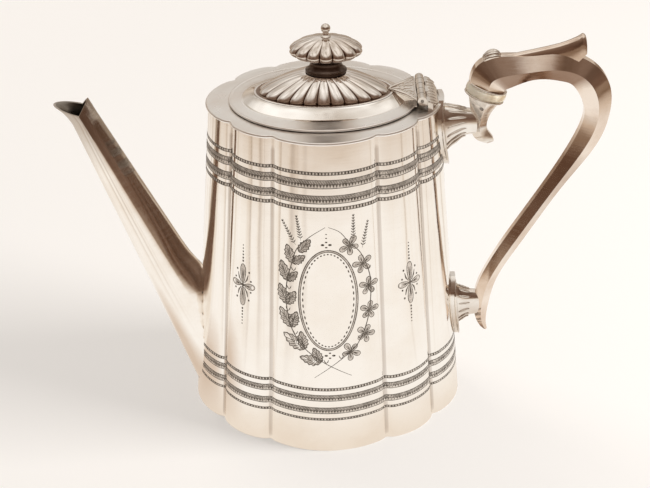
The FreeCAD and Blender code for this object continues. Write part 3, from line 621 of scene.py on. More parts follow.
# Engraved drops: a four petalled spray with dotted tails stands on each of the four narrow lobes.
# The same graver cut them, freehand, at half height.
NARROW_LOBES = (1, 3, 5, 7)
DROP_HEIGHT = 86.2
DROP_GAP = 0.8
DROP_TALL = 11.4
DROP_WIDE = 6.8
DROP_CURL = ((1.0, 1.2), (2.4, 3.4), (3.0, 6.0))
DROP_DOTS = ((3.6, 7.6, 0.5, 0.6), (4.6, 3.0, 0.5, 0.5))
DROP_EYE = 0.9
TAIL_FROM = 13.0
TAIL_PITCH = 1.7
TAIL_DOTS = 6
TAIL_DWINDLE = ((0.5, 0.04), (0.62, 0.05))
drop_cuts = []
for lobe in NARROW_LOBES:
    drop = (lobe, drop_cuts)
    for side in (-1, 1):
        cut_petal(drop, (0, DROP_HEIGHT + side * DROP_GAP), (0, DROP_HEIGHT + side * DROP_TALL),
                  fullness=0.17)
        cut_petal(drop, (side * DROP_GAP, DROP_HEIGHT), (side * DROP_WIDE, DROP_HEIGHT),
                  fullness=0.3)
        for k in range(TAIL_DOTS):
            cut_dot(drop, 0, DROP_HEIGHT + side * (TAIL_FROM + TAIL_PITCH * k),
                    *[size - less * k for size, less in TAIL_DWINDLE])
        for lean in (-1, 1):
            curl = [(side * s, DROP_HEIGHT + lean * z) for s, z in DROP_CURL]
            graver_line(drop, curl, wide=0.8)
            for s, z, wide, high in DROP_DOTS:
                cut_dot(drop, side * s, DROP_HEIGHT + lean * z, wide, high)
    cut_dot(drop, 0, DROP_HEIGHT, DROP_EYE, DROP_EYE)
engraving("drop_cuts", drop_cuts)


# Shoulder: flat plate of the body's plan with a rolled edge, pierced by the mouth under the lid.
# It is soldered on top of the lobes and stands a little proud of them.
SHOULDER_TOP = 166.2
SHOULDER_LIP = 1.2
EDGE_ROLL = 0.7
EDGE_HALF_HIGH = 0.8
EDGE_INSET = -1.6
DISHED = 0.12
MOUTH_HALF = (38.0, 26.5)
MOUTH_ROUND = 0.3


def shoulder_ring(grow, z):
    return lobed_ring(TOP_HALF[0] + grow, TOP_HALF[1] + grow, z, soft=0.7)


def mouth_within(ring):
    # The mouth's oval with one point for each point of a ring, at the ring's height
    out = []
    for p in ring:
        turn = atan2(p.y / TOP_HALF[1], p.x / TOP_HALF[0])
        out.append(Vector((MOUTH_HALF[0] * cos(turn), MOUTH_HALF[1] * sin(turn), p.z)))
    return out


shoulder_rings = [mouth_within(shoulder_ring(0, BODY_HEIGHT))]
for k in range(9):
    angle = radians(-90 + 22.5 * k)
    grow = SHOULDER_LIP - EDGE_ROLL + EDGE_ROLL * cos(angle)
    z = BODY_HEIGHT + EDGE_HALF_HIGH + EDGE_HALF_HIGH * sin(angle)
    shoulder_rings.append(shoulder_ring(grow, z))
shoulder_rings.append(shoulder_ring(EDGE_INSET, SHOULDER_TOP - DISHED))
for share in (0.0, 0.35, 0.7, 1.0):
    ring = shoulder_ring(EDGE_INSET, SHOULDER_TOP - DISHED * share)
    shoulder_rings.append([a.lerp(b, 0.1 + 0.88 * share) for a, b in zip(ring, mouth_within(ring))])
shoulder_rings.append(mouth_within(shoulder_ring(0, SHOULDER_TOP - MOUTH_ROUND)))
shoulder = skin("shoulder", shoulder_rings, closed=True)
crisp(shoulder, 50)
top_silver = silver_plate("top_silver", (0.95, 0.93, 0.9), (0.87, 0.8, 0.74), 0.26, 0.36, 0.04)
coat(shoulder, top_silver)
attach(shoulder, "pot")
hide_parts("shoulder_plate")


# Spout: a straight taper with a roofed ridge towards the pot and a round keel, folded from sheet.
# Its lip flares to a beak, and its root is soldered to the end lobe over the slot.
SPOUT_LOBE = 6
SPOUT_ROOT_HEIGHT = 40.0
SPOUT_LEAN = radians(25.0)
SPOUT_LENGTH = 127.0
SPOUT_SUNK = 34.0
OUTER_SUNK = 0.45
INNER_SUNK = 0.6
SPOUT_WALL = 1.1
SPOUT_STEPS = 52
BELLY_STEPS = 24
RIDGE = (17.4, 13.9)
CREASE = (6.2, 7.6)
KEEL = (13.0, -0.6)
SPOUT_HALF_WIDTH = (10.5, 7.2)
ROOF_BULGE = 0.7
ROOF_SHARES = (0.06, 0.18, 0.34, 0.5, 0.66, 0.82, 0.95)
RIDGE_EASE = 0.25
RIDGE_FLARE = 3.0
RIDGE_FLARE_FROM = 46.0
RIDGE_FLARE_RUN = 18.0
LIP_LENGTH = 21.0
LIP_LEAD = 4.0
LIP_STEPS = 14
LIP_FLARE = 9.5
LIP_POWER = 2.2
LIP_SPREAD = 0.8
LIP_ROUND = 0.25
MOUTH_LINE = ((13.9, 8.4), (7.6, 4.2), (-3.675, 13.5), (-27.9, 34.5))


def spout_place(along, up, y):
    x = -taper(SPOUT_ROOT_HEIGHT)[0] - along * sin(SPOUT_LEAN) + up * cos(SPOUT_LEAN)
    z = SPOUT_ROOT_HEIGHT + along * cos(SPOUT_LEAN) + up * sin(SPOUT_LEAN)
    return Vector((x, y, z))


def spout_outline(along, wall):
    # Section in up and across: two roof flats, eased ridge and creases, and a round belly
    share = min(along, SPOUT_LENGTH) / SPOUT_LENGTH
    opened = (max(along - SPOUT_LENGTH, 0.0) / LIP_LENGTH) ** LIP_POWER
    tapers = (RIDGE, CREASE, KEEL, SPOUT_HALF_WIDTH)
    ridge, crease, keel, half = [a + (b - a) * share for a, b in tapers]
    near_root = min(max((RIDGE_FLARE_FROM - along) / RIDGE_FLARE_RUN, 0.0), 1.5)
    ridge += RIDGE_FLARE * near_root ** 2
    keel += LIP_FLARE * opened - wall
    half += LIP_SPREAD * opened
    ridge -= wall * hypot(half, ridge - crease) / half
    half -= wall
    drop = crease + keel
    radius = (half ** 2 + drop ** 2) / (2 * drop)
    swing = atan2(half, radius - drop)
    belly = []
    for k in range(BELLY_STEPS + 1):
        angle = -swing + 2 * swing * k / BELLY_STEPS
        belly.append((-keel + radius - radius * cos(angle), -radius * sin(angle)))
    top = Vector((ridge, 0.0))
    roof = []
    for foot, side in ((Vector(belly[-1]), 1), (Vector(belly[0]), -1)):
        down = foot - top
        out = Vector((-down.y, down.x)).normalized() * side * ROOF_BULGE
        roof.append([tuple(top + down * t + out * 4 * t * (1 - t)) for t in ROOF_SHARES])
    return [(ridge - RIDGE_EASE, 0.0)] + roof[0] + belly[::-1] + roof[1][::-1]


def mouth_reach(up):
    for (up_a, reach_a), (up_b, reach_b) in zip(MOUTH_LINE, MOUTH_LINE[1:]):
        if up >= up_b:
            return reach_a + (reach_b - reach_a) * (up_a - up) / (up_a - up_b)
    return MOUTH_LINE[-1][1]


def spout_rings(wall):
    # Rings from the sunk root up; the last ones close in on the slanting line of the mouth
    rings = []
    for k in range(SPOUT_STEPS + 1):
        along = -SPOUT_SUNK + (SPOUT_LENGTH - LIP_LEAD + SPOUT_SUNK) * k / SPOUT_STEPS
        rings.append([spout_place(along, up, y) for up, y in spout_outline(along, wall)])
    ends = []
    for j in range(len(rings[0])):
        low, high = 0.0, LIP_LENGTH
        for halving in range(30):
            half_way = (low + high) / 2
            if half_way < mouth_reach(spout_outline(SPOUT_LENGTH + half_way, wall)[j][0]):
                low = half_way
            else:
                high = half_way
        ends.append(SPOUT_LENGTH + low)
    for k in range(1, LIP_STEPS + 1):
        ring = []
        for j, end in enumerate(ends):
            along = SPOUT_LENGTH - LIP_LEAD + (end - SPOUT_LENGTH + LIP_LEAD) * k / LIP_STEPS
            ring.append(spout_place(along, *spout_outline(along, wall)[j]))
        rings.append(ring)
    return rings


def out_of_body(ring, sunk):
    # The root's end follows the wall of the pot
    out = []
    for p in ring:
        middle, radius = lobe_arcs(*taper(max(p.z, 0.0)))[SPOUT_LOBE][:2]
        edge = middle.x - sqrt(radius ** 2 - (p.y - middle.y) ** 2)
        out.append(Vector((min(p.x, edge + sunk), p.y, p.z)))
    return out


outer = spout_rings(0.0)
inner = spout_rings(SPOUT_WALL)[::-1]
onward = (outer[-1][0] - outer[-2][0]).normalized()
lip = [a.lerp(b, 0.5) + onward * LIP_ROUND for a, b in zip(outer[-1], inner[0])]
free_rings = outer + [lip] + inner
held_rings = [out_of_body(ring, OUTER_SUNK) for ring in outer] + [lip]
held_rings += [out_of_body(ring, INNER_SUNK) for ring in inner]
spout = skin("spout", held_rings, closed=True)
spout_silver = silver_plate("spout_silver", (0.96, 0.92, 0.87), (0.89, 0.82, 0.74), 0.06, 0.15)
# Painted shade: the spout's inside takes a much darker plate
shaded_spout_inside = silver_plate("shaded_spout_inside", (0.42, 0.38, 0.34), (0.14, 0.12, 0.1),
                              0.2, 0.45, 0.15)


def paint_shade(finish, kind, output, clear_at, dark_at, tone):
    # Paints shade over a plate where a height or a facing passes from one value to another
    tree = finish.node_tree
    shader = tree.nodes["Principled BSDF"]
    plate = shader.inputs["Base Color"].links[0].from_socket
    upright = add_node(tree, "SeparateXYZ", "Z", {"Vector": add_node(tree, kind, output)})
    share = spread(tree, upright, clear_at, dark_at)
    feed(tree, shader, {"Base Color": mixed(tree, "MULTIPLY", share, plate, (*tone, 1.0))})


# Painted shade: the spout's plate darkens towards the lip, standing in for a darker reflection
# there
paint_shade(spout_silver, "TexCoord", "Object", clear_at=0.132, dark_at=0.172, tone=(0.42, 0.37, 0.33))
coat(spout, spout_silver, shaded_spout_inside)
inside_from = len(outer) * len(outer[0])
for face in spout.data.polygons:
    face.material_index = 1 if face.index >= inside_from else 0
on_pot_wall = []
for free, held in zip(free_rings, held_rings):
    on_pot_wall += [a.x != b.x for a, b in zip(free, held)]
opened = bmesh.new()
opened.from_mesh(spout.data)
hidden = [face for face in opened.faces if all(on_pot_wall[v.index] for v in face.verts)]
bmesh.ops.delete(opened, geom=hidden, context="FACES")
opened.to_mesh(spout.data)
opened.free()
crisp(spout, 34)
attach(spout, "pot")
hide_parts("spout_tube")


# Handle fittings: cast leaf plates hug the end lobe, an arm and six sided socket spring from the
# upper one, and a short arm from the lower. Each has a raised rim and pleats round the arm's root,
# chased and soldered on.
END_LOBE = 2
PLATE_THICK = 2.2
UPPER_LEAF = (10.0, 131.0, 167.4, 0.6)
LOWER_LEAF = (7.4, 32.0, 68.0, 0.3)
LEAF_EDGE = ((0.02, 0.0), (0.45, 0.13), (0.72, 0.28), (0.9, 0.43), (0.98, 0.58), (0.96, 0.7),
             (0.9, 0.79))
LEAF_RIM = 0.75
UPPER_ARM = ((54.78, 149.1, 14.5, 7.4), (59.97, 151.6, 10.15, 5.03), (65.17, 153.2, 7.4, 4.22),
             (72.1, 153.2, 6.9, 3.8))
LOWER_ARM = ((63.69, 50.0, 14.5, 5.4), (67.69, 50.4, 10.0, 4.4), (70.69, 50.9, 8.2, 3.8),
             (78.69, 50.9, 8.0, 3.6))
UPPER_PLEATS = (16, 57.4, 66.5)
LOWER_PLEATS = (14, 66.3, 72.0)
PLEAT_RADIUS = 0.62
ARM_EASE = 0.35
RIB_SIDES = 8
RIB_BLUNT = 0.4
RIB_TIP = 0.02
cast_silver = silver_plate("cast_silver", (0.88, 0.84, 0.79), (0.66, 0.57, 0.49), 0.06, 0.18, 0.08)
chased_silver = silver_plate("chased_silver", (0.86, 0.81, 0.75), (0.55, 0.46, 0.38),
                             0.08, 0.2, 0.08, 0.08)
for node in ("upper_escutcheon", "upper_socket", "lower_escutcheon", "lower_arm"):
    dress(node, cast_silver)


def ribs(name, paths, body, closed=False):
    # One cast piece of round ridges, each along a path with its radius, drawn thin at open ends
    points, faces = [], []
    for path, radius in paths:
        count = len(path)
        faces += band_faces(len(points), count, RIB_SIDES, closed, not closed)
        for k, p in enumerate(path):
            ahead = path[(k + 1) % count] if closed else path[min(k + 1, count - 1)]
            behind = path[k - 1] if closed else path[max(k - 1, 0)]
            along = (ahead - behind).normalized()
            side = along.orthogonal() if k == 0 else side - along * side.dot(along)
            side.normalize()
            other = along.cross(side)
            full = radius
            if not closed:
                full = radius * max(sin(pi * (k / (count - 1))), 0.0) ** RIB_BLUNT + RIB_TIP
            for j in range(RIB_SIDES):
                angle = 2 * pi * j / RIB_SIDES
                points.append(p + (side * cos(angle) + other * sin(angle)) * full)
    piece = new_piece(name, points, faces)
    rounded(piece)
    coat(piece, chased_silver)
    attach(piece, body)


def leaf_rim(half_width, low, high, top_share):
    paths = []
    for side in (-1, 1):
        edge = []
        for share, up in smooth_path(LEAF_EDGE + ((top_share, 0.97),), 5):
            edge.append(on_lobe(END_LOBE, side * share * half_width, low + up * (high - low),
                                PLATE_THICK))
        paths.append((edge, LEAF_RIM))
    return paths


def read_off(table, x, ease=0.0):
    # Values at a place between the rows of a table, which begin with their own places
    for near, far in zip(table, table[1:]):
        if near[0] <= x <= far[0]:
            t = (x - near[0]) / (far[0] - near[0])
            t = t * t * (3 - 2 * t) * ease + t * (1 - ease)
            values = [a + (b - a) * t for a, b in zip(near[1:], far[1:])]
    return values


def root_pleats(arm, count, start, end):
    # Ridges that run off the arm and spread over the plate
    paths = []
    for k in range(count):
        angle = 2 * pi * (k + 0.5) / count
        path = []
        for s in range(11):
            x = start + (end - start) * s / 10
            z, tall, wide = read_off(arm, x, ARM_EASE)
            path.append(Vector((x, wide * cos(angle), z + tall * sin(angle))))
        paths.append((path, PLEAT_RADIUS))
    return paths


ribs("upper_leaf_relief", leaf_rim(*UPPER_LEAF) + root_pleats(UPPER_ARM, *UPPER_PLEATS), "pot")
ribs("lower_leaf_relief", leaf_rim(*LOWER_LEAF) + root_pleats(LOWER_ARM, *LOWER_PLEATS), "pot")


# Handle: a hollow six sided grip from the ring down to the lower arm, with a rounded thumb ridge.
# Soldered from two stampings, its downward facing facets carry painted shade; a small ribbed leaf
# covers the ridge's heel, and a bead runs round each end of the ring.
RING_MIDDLE = Vector((75.1, 0.0, 169.0))
RING_TILT = radians(18.5)
RING_HALF = (9.7, 7.6)
COLLARS = ((-2.55, -0.55), (2.5, -0.75))
COLLAR_RADIUS = 0.5
COLLAR_POINTS = 48
THUMB_TOP = ((-0.6, 16.6), (3.2, 19.4), (8.0, 18.4), (19.0, 20.4), (32.5, 23.6), (40.0, 26.6),
             (42.6, 28.2), (44.0, 27.0), (44.6, 24.0), (44.5, 20.5))
THUMB_FOOT = ((-0.7, 16.2), (3.0, 10.0), (38.0, 12.0), (44.8, 19.8))
THUMB_LENGTH = 44.0
THUMB_HALF_WIDTH = 2.6
THUMB_SPREAD = 1.0
THUMB_SQUARE = 0.8
THUMB_STEPS = 17
HEEL_START = -2.6
HEEL_LENGTH = 8.6
HEEL_HEIGHT = 15.6
HEEL_ARCH = 4.3
HEEL_TURN = (0.25, 2.1)
HEEL_PITCH = 1.55
HEEL_PINCH = 0.75
HEEL_FALL = 0.28
HEEL_RIB = 0.95
grip_silver = silver_plate("grip_silver", (0.88, 0.78, 0.69), (0.7, 0.55, 0.44), 0.06, 0.16)
# Painted shade: the grip's downward facing facets are darkened
paint_shade(grip_silver, "NewGeometry", "Normal", clear_at=-0.28, dark_at=-0.42, tone=(0.4, 0.31, 0.26))
dress("handle_grip", grip_silver)
thumb_rings = []
for x, top in smooth_path(THUMB_TOP, 6):
    foot = read_off(THUMB_FOOT, x)[0]
    half = THUMB_HALF_WIDTH + THUMB_SPREAD * max(x / THUMB_LENGTH, 0.0) ** 2
    ring = []
    for k in range(THUMB_STEPS + 1):
        angle = pi * k / THUMB_STEPS
        y = -half * copysign(abs(cos(angle)) ** THUMB_SQUARE, cos(angle))
        z = foot + max(top - foot, 0.2) * sin(angle) ** THUMB_SQUARE
        ring.append(RING_MIDDLE + Vector((x, y, z)))
    thumb_rings.append(ring)
thumb_ridge = skin("thumb_ridge", thumb_rings, capped=True)
crisp(thumb_ridge, 60)
coat(thumb_ridge, grip_silver)
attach(thumb_ridge, "pot")
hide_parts("thumb_rest")

heel_paths = []
for k in (-2, -1, 0, 1, 2):
    path = []
    for s in range(9):
        t = s / 8
        y = k * (HEEL_PITCH - HEEL_PINCH * abs(2 * t - 1) ** 1.5)
        z = HEEL_HEIGHT + HEEL_ARCH * sin(HEEL_TURN[0] + HEEL_TURN[1] * t) - HEEL_FALL * k * k
        path.append(RING_MIDDLE + Vector((HEEL_START + HEEL_LENGTH * t, y, z)))
    heel_paths.append((path, HEEL_RIB))
ribs("thumb_leaf", heel_paths, "pot")

collar_paths = []
ring_axis = Vector((sin(RING_TILT), 0, cos(RING_TILT)))
ring_side = Vector((cos(RING_TILT), 0, -sin(RING_TILT)))
for offset, grow in COLLARS:
    path = []
    for k in range(COLLAR_POINTS):
        angle = 2 * pi * k / COLLAR_POINTS
        path.append(RING_MIDDLE + ring_axis * offset
                    + ring_side * ((RING_HALF[0] + grow) * cos(angle))
                    + Vector((0, (RING_HALF[1] + grow) * sin(angle), 0)))
    collar_paths.append((path, COLLAR_RADIUS))
ribs("ring_collars", collar_paths, "pot", closed=True)


# Insulating ring: turned from ivory, it keeps the pot's heat from the hand.
# Its spigots are held by a steel cross pin through the socket.
ivory, tree, shader = new_finish("ivory", 0.0)
place = add_node(tree, "TexCoord", "Object")
growth = speckle(tree, place, 160.0, 6.0)
cream = ramp(tree, growth, (0.32, (0.5, 0.4, 0.27)), (0.55, (0.83, 0.76, 0.63)))
crackle = add_node(tree, "TexVoronoi", "Distance", {"Vector": place, "Scale": 420.0},
                   feature="DISTANCE_TO_EDGE")
crack = add_node(tree, "Bump", "Normal", {"Height": crackle, "Strength": 0.4, "Distance": 0.0002})
polish = spread(tree, growth, to_low=0.3, to_high=0.5)
feed(tree, shader, {"Base Color": cream, "Normal": crack, "Roughness": polish,
                    "Subsurface Weight": 0.15, "Subsurface Radius": (0.004, 0.003, 0.002)})
dress("insulator_ring", ivory)
pin_steel = silver_plate("pin_steel", (0.4, 0.37, 0.34), (0.16, 0.13, 0.11), 0.3, 0.5, 0.2)
dress("socket_pin", pin_steel)


# Lid: one stamped sheet with a flat rim, a hollow cove, a bright step and a dome of rounded flutes.
# A bezel ring soldered under it drops into the mouth.
LID_UNDER = 166.5
LID_RIM_TOP = 167.5
STEP_TOP = 170.8
DOME_TOP = 180.6
RIM_HALF = (44.3, 34.3)
RIM_INNER = (36.3, 23.9)
RIM_ROUND = 0.5
RIM_ROUND_DOWN = 0.45
RIM_UNDERCUT = -0.3
RIM_LINE = ((-1.1, 0.0), (-1.5, -0.14), (-1.9, 0.0), (-3.4, 0.0))
STEP_HALF = (32.4, 18.2)
STEP_EDGE = ((0.04, -0.1), (-0.1, 0.02), (-0.5, 0.04), (-1.2, -0.05))
COVE_RUN = (6.0, 7.8)
COVE_RISE = 3.1
COVE_STRAIGHT = 0.8
DOME_FOOT = (30.5, 16.3)
DOME_POWER = 1.6
DOME_SUNK = 0.1
DOME_TUCK = 0.5
DOME_TUCK_RISE = 1.1
STUD_WAY = 1.5
INSIDE_WALL = -2.0
INSIDE_DOWN = 1.0
INSIDE_LESS = 0.5
INSIDE_FOOT = (30.3, 16.1)
INSIDE_COVE = (31.0, 17.0)
INSIDE_COVE_RISE = 1.5
FLAT_MARGIN = 0.05
COVE_MARGIN = 0.4
NECK_HALF = (9.2, 7.6)
FINIAL_X = 1.2
STUD_HALF = (2.0, 2.0)
FLUTES = 22
FLUTE_POINTS = 14
FLUTE_DEPTH = 1.35
FLUTE_ROUND = 0.96
OVAL_MARKS = 2880
CIRCLE = (1.0, 1.0)


def even_turns(half, count):
    # Angles that divide an oval into even lengths
    ring = []
    for k in range(OVAL_MARKS):
        angle = 2 * pi * k / OVAL_MARKS
        ring.append(Vector((half[0] * cos(angle), half[1] * sin(angle))))
    return [2 * pi * mark / OVAL_MARKS for mark in even_marks(lengths_round(ring), count)]


def oval_ring(half, z, turns, middle_x=0.0, grow=0.0):
    return [Vector((middle_x + (half[0] + grow) * cos(t), (half[1] + grow) * sin(t), z))
            for t in turns]


def fluted_ring(half, z, turns, points, depth, middle_x=0.0):
    ring = []
    for j, t in enumerate(turns):
        phase = (j % points) / points * 2 - 1
        p = Vector((half[0] * cos(t), half[1] * sin(t), 0))
        bulge = 1 - sqrt(max(1 - phase ** 2 * FLUTE_ROUND, 0.0))
        p -= p.normalized() * depth * bulge
        ring.append(Vector((middle_x + p.x, p.y, z)))
    return ring


lid_turns = even_turns(DOME_FOOT, FLUTES * FLUTE_POINTS)
lid_rings = []


def lid_oval(half, z, grow=0.0, middle_x=0.0):
    lid_rings.append(oval_ring(half, z, lid_turns, middle_x, grow))


def dome_half(share):
    return [neck + (foot - neck) * share for neck, foot in zip(NECK_HALF, DOME_FOOT)]


lid_oval(RIM_INNER, LID_UNDER)
lid_oval(RIM_HALF, LID_UNDER, RIM_UNDERCUT)
for k in range(5):
    angle = radians(-60 + 37.5 * k)
    lid_oval(RIM_HALF, LID_RIM_TOP - RIM_ROUND_DOWN + RIM_ROUND * sin(angle),
             RIM_ROUND * cos(angle) - RIM_ROUND)
for grow, rise in RIM_LINE:
    lid_oval(RIM_HALF, LID_RIM_TOP + rise, grow)
for k in range(11):
    angle = radians(9 * k)
    half = [step + run * (1 - sin(angle)) for step, run in zip(STEP_HALF, COVE_RUN)]
    rise = (1 - COVE_STRAIGHT) * (1 - cos(angle)) + COVE_STRAIGHT * sin(angle)
    lid_oval(half, LID_RIM_TOP + COVE_RISE * rise)
for grow, rise in STEP_EDGE:
    lid_oval(STEP_HALF, STEP_TOP + rise, grow)
for k in range(25):
    angle = radians(90 * k / 24)
    share = max(cos(angle), 0.0) ** DOME_POWER
    rise = (DOME_TOP - STEP_TOP) * sin(angle) ** DOME_POWER
    tuck = DOME_TUCK * max(1 - rise / DOME_TUCK_RISE, 0.0) ** 2
    depth = FLUTE_DEPTH * (0.25 + 0.75 * share) * (1 + 0.35 * max(1 - rise / 2.0, 0.0))
    lid_rings.append(fluted_ring([h - tuck for h in dome_half(share)],
                                 STEP_TOP - DOME_SUNK + rise, lid_turns, FLUTE_POINTS, depth))
for drop in (0.0, STUD_WAY):
    lid_oval(STUD_HALF, DOME_TOP - drop, middle_x=FINIAL_X)
for k in range(9):
    angle = radians(90 - 11.25 * k)
    rise = (DOME_TOP - STEP_TOP - INSIDE_LESS) * sin(angle) ** DOME_POWER
    lid_oval(dome_half(max(cos(angle), 0.0) ** DOME_POWER), STEP_TOP - INSIDE_DOWN + rise,
             INSIDE_WALL)
lid_oval(INSIDE_FOOT, STEP_TOP - INSIDE_DOWN)
lid_oval(INSIDE_COVE, LID_UNDER + INSIDE_COVE_RISE)
lid_sheet = skin("lid_sheet", lid_rings, closed=True)
crisp(lid_sheet, 62)
# Painted reflection: the cove takes a brighter, cleaner copy of the lid's plate
cove_lit_silver = silver_plate("cove_lit_silver", (0.96, 0.93, 0.89), (0.9, 0.84, 0.77), 0.06, 0.15)
lid_silver = silver_plate("lid_silver", (0.9, 0.86, 0.82), (0.72, 0.64, 0.57),
                          0.07, 0.17, 0.05, 0.022)
coat(lid_sheet, lid_silver, top_silver, cove_lit_silver)
for face in lid_sheet.data.polygons:
    if face.center.z < (LID_RIM_TOP + FLAT_MARGIN) * MM:
        face.material_index = 1
    elif face.center.z < (STEP_TOP - COVE_MARGIN) * MM:
        face.material_index = 2
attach(lid_sheet, "lid")
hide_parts("lid_cover")
dress("lid_bezel", lid_silver)


# Finial: a waisted neck, an umbrella of fourteen flutes and a small ball, each cast and stacked on
# one stud. A brass washer and nut under the dome draw them down.
NECK_PROFILE = ((0.0, 0.0), (0.35, 0.3), (0.35, 0.8), (-0.2, 1.1), (-0.9, 1.7), (-1.6, 2.9),
                (-1.95, 4.2), (-1.8, 5.3), (-1.3, 5.9), (-1.0, 6.3), (-1.3, 6.7), (-1.8, 7.0))
KNOB_HALF = (17.0, 12.4)
KNOB_FOOT = 187.6
KNOB_RIM = 191.2
KNOB_TOP = 197.6
KNOB_UNDER = 3.6
KNOB_FOOT_SHARE = 0.45
KNOB_TOP_SHARE = 0.13
KNOB_RISE = 6.4
KNOB_POWER = 1.2
KNOB_HOLLOW = 6.0
KNOB_FLUTES = 14
KNOB_POINTS = 14
KNOB_FLUTE_DEPTH = 2.1
BALL_FOOT = ((0.4, 0.0), (2.2, 0.0), (2.35, 0.25), (2.2, 0.5), (1.75, 0.8), (1.45, 1.3), (1.4, 1.8))
BALL_RADIUS = 2.2
BALL_RISE = 3.9
neck_turns = even_turns(NECK_HALF, count=96)
neck_rings = [oval_ring(STUD_HALF, DOME_TOP, neck_turns, FINIAL_X)]
for grow, z in NECK_PROFILE:
    neck_rings.append(oval_ring(NECK_HALF, DOME_TOP + z, neck_turns, FINIAL_X, grow))
neck_rings.append(oval_ring(STUD_HALF, KNOB_FOOT, neck_turns, FINIAL_X))
neck = skin("finial_waist", neck_rings, closed=True)
crisp(neck, 55)
# Painted shade: the waist under the umbrella takes a near black plate
shaded_neck_silver = silver_plate("shaded_neck_silver", (0.15, 0.11, 0.09), (0.07, 0.05, 0.04), 0.14, 0.28, 0.08)
coat(neck, shaded_neck_silver)
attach(neck, "lid")
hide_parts("finial_neck")

knob_turns = even_turns(KNOB_HALF, KNOB_FLUTES * KNOB_POINTS)
knob_rings = [oval_ring(STUD_HALF, z, knob_turns, FINIAL_X)
              for z in (KNOB_FOOT + KNOB_HOLLOW, KNOB_FOOT)]


def knob_ring(share, z, fade):
    knob_rings.append(fluted_ring([h * share for h in KNOB_HALF], z, knob_turns, KNOB_POINTS,
                                  KNOB_FLUTE_DEPTH * share ** fade, FINIAL_X))


for k in range(11):
    angle = radians(90 - 9 * k)
    knob_ring(KNOB_FOOT_SHARE + (1 - KNOB_FOOT_SHARE) * cos(angle),
              KNOB_FOOT + KNOB_UNDER * (1 - sin(angle)), fade=2)
for k in range(1, 21):
    angle = radians(4.5 * k)
    knob_ring(KNOB_TOP_SHARE + (1 - KNOB_TOP_SHARE) * max(cos(angle), 0.0) ** KNOB_POWER,
              KNOB_RIM + KNOB_RISE * sin(angle) ** KNOB_POWER, fade=1.3)
knob = skin("finial_umbrella", knob_rings, capped=True)
crisp(knob, 62)
coat(knob, lid_silver)
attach(knob, "lid")
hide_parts("finial_knob")

ball_turns = even_turns(CIRCLE, count=40)
ball_profile = list(BALL_FOOT)
for k in range(13):
    angle = radians(-50 + 140 * k / 12)
    ball_profile.append((max(BALL_RADIUS * cos(angle), 0.05),
                         BALL_RISE + BALL_RADIUS * sin(angle)))
ball_rings = [oval_ring((radius, radius), KNOB_TOP + z, ball_turns, FINIAL_X)
              for radius, z in ball_profile]
ball = skin("finial_ball", ball_rings, capped=True)
crisp(ball, 60)
coat(ball, cast_silver)
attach(ball, "lid")
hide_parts("finial_tip")
stud_brass = silver_plate("stud_brass", (0.72, 0.54, 0.26), (0.45, 0.31, 0.14), 0.2, 0.4, 0.1)
for node in ("finial_washer", "finial_nut", "finial_stud"):
    dress(node, stud_brass)


# Hinge: a cast fan on the lid and a sloping block on the shoulder share five knuckles on a pin of
# steel. The fan carries a chased scroll inside a raised edge, the block a row of shallow reeds.
FAN_TOP = 171.12
FAN_EDGE = ((42.0, 12.3), (39.4, 8.6), (37.0, 5.9), (34.2, 3.6), (31.6, 1.5), (30.2, 0.0))
FAN_SCROLLS = ((39.2, 4.6, 3.1, 1.9), (40.2, 9.0, 1.7, 1.4), (36.0, 2.2, 1.8, 1.5))
FAN_RIM = 0.85
SPINE_START = 31.2
SPINE_LENGTH = 9.6
SPINE_RADIUS = 0.5
BAR_X = 42.1
BAR_HALF = 12.4
BAR_RADIUS = 0.45
SCROLL_RADIUS = 0.42
SCROLL_STEPS = 32
REEDS = 9
REED_PITCH = 3.0
REED_RADIUS = 0.5
REED_START = 47.5
REED_LENGTH = 4.6
REED_TOP = 170.35
REED_FALL = 2.75
REED_CURVE = 1.4
hinge_silver = silver_plate("hinge_silver", (0.8, 0.75, 0.69), (0.5, 0.42, 0.35), 0.08, 0.2, 0.1)
for node in ("hinge_pot_leaf", "hinge_lid_leaf"):
    dress(node, hinge_silver)
dress("hinge_pin", pin_steel)
fan_paths = []
for side in (-1, 1):
    edge = [Vector((x, side * y, FAN_TOP)) for x, y in smooth_path(FAN_EDGE, 4)]
    fan_paths.append((edge, FAN_RIM))
    for middle_x, middle_y, size, turns in FAN_SCROLLS:
        scroll = []
        for s in range(SCROLL_STEPS + 1):
            angle = 2 * pi * turns * s / SCROLL_STEPS
            radius = size * (1 - 0.85 * s / SCROLL_STEPS)
            scroll.append(Vector((middle_x - radius * cos(angle),
                                  side * (middle_y + radius * sin(angle)), FAN_TOP)))
        fan_paths.append((scroll, SCROLL_RADIUS))
spine = [Vector((SPINE_START + SPINE_LENGTH * s / 8, 0, FAN_TOP)) for s in range(9)]
foot_bar = [Vector((BAR_X, BAR_HALF * s / 8, FAN_TOP)) for s in range(-8, 9)]
fan_paths += [(spine, SPINE_RADIUS), (foot_bar, BAR_RADIUS)]
ribs("hinge_scroll", fan_paths, "lid")
reed_paths = []
for k in range(REEDS):
    y = REED_PITCH * (k - (REEDS - 1) / 2)
    path = []
    for s in range(9):
        t = s / 8
        fall = REED_FALL * t ** REED_CURVE
        path.append(Vector((REED_START + REED_LENGTH * t, y, REED_TOP - fall)))
    reed_paths.append((path, REED_RADIUS))
ribs("hinge_reeds", reed_paths, "pot")


# Floor: seamless white paper under the pot.
# It stays pale to the eye and to the metal, and keeps the pot's shadow.
FLOOR_HALF = 5000.0
PALE_SHARE = 0.35


def bare_finish(name):
    finish = bpy.data.materials.new(name)
    finish.use_nodes = True
    finish.node_tree.nodes.clear()
    return finish, finish.node_tree


def combined(tree, how, first, second):
    return add_node(tree, "Math", "Value", {0: first, 1: second}, operation=how)


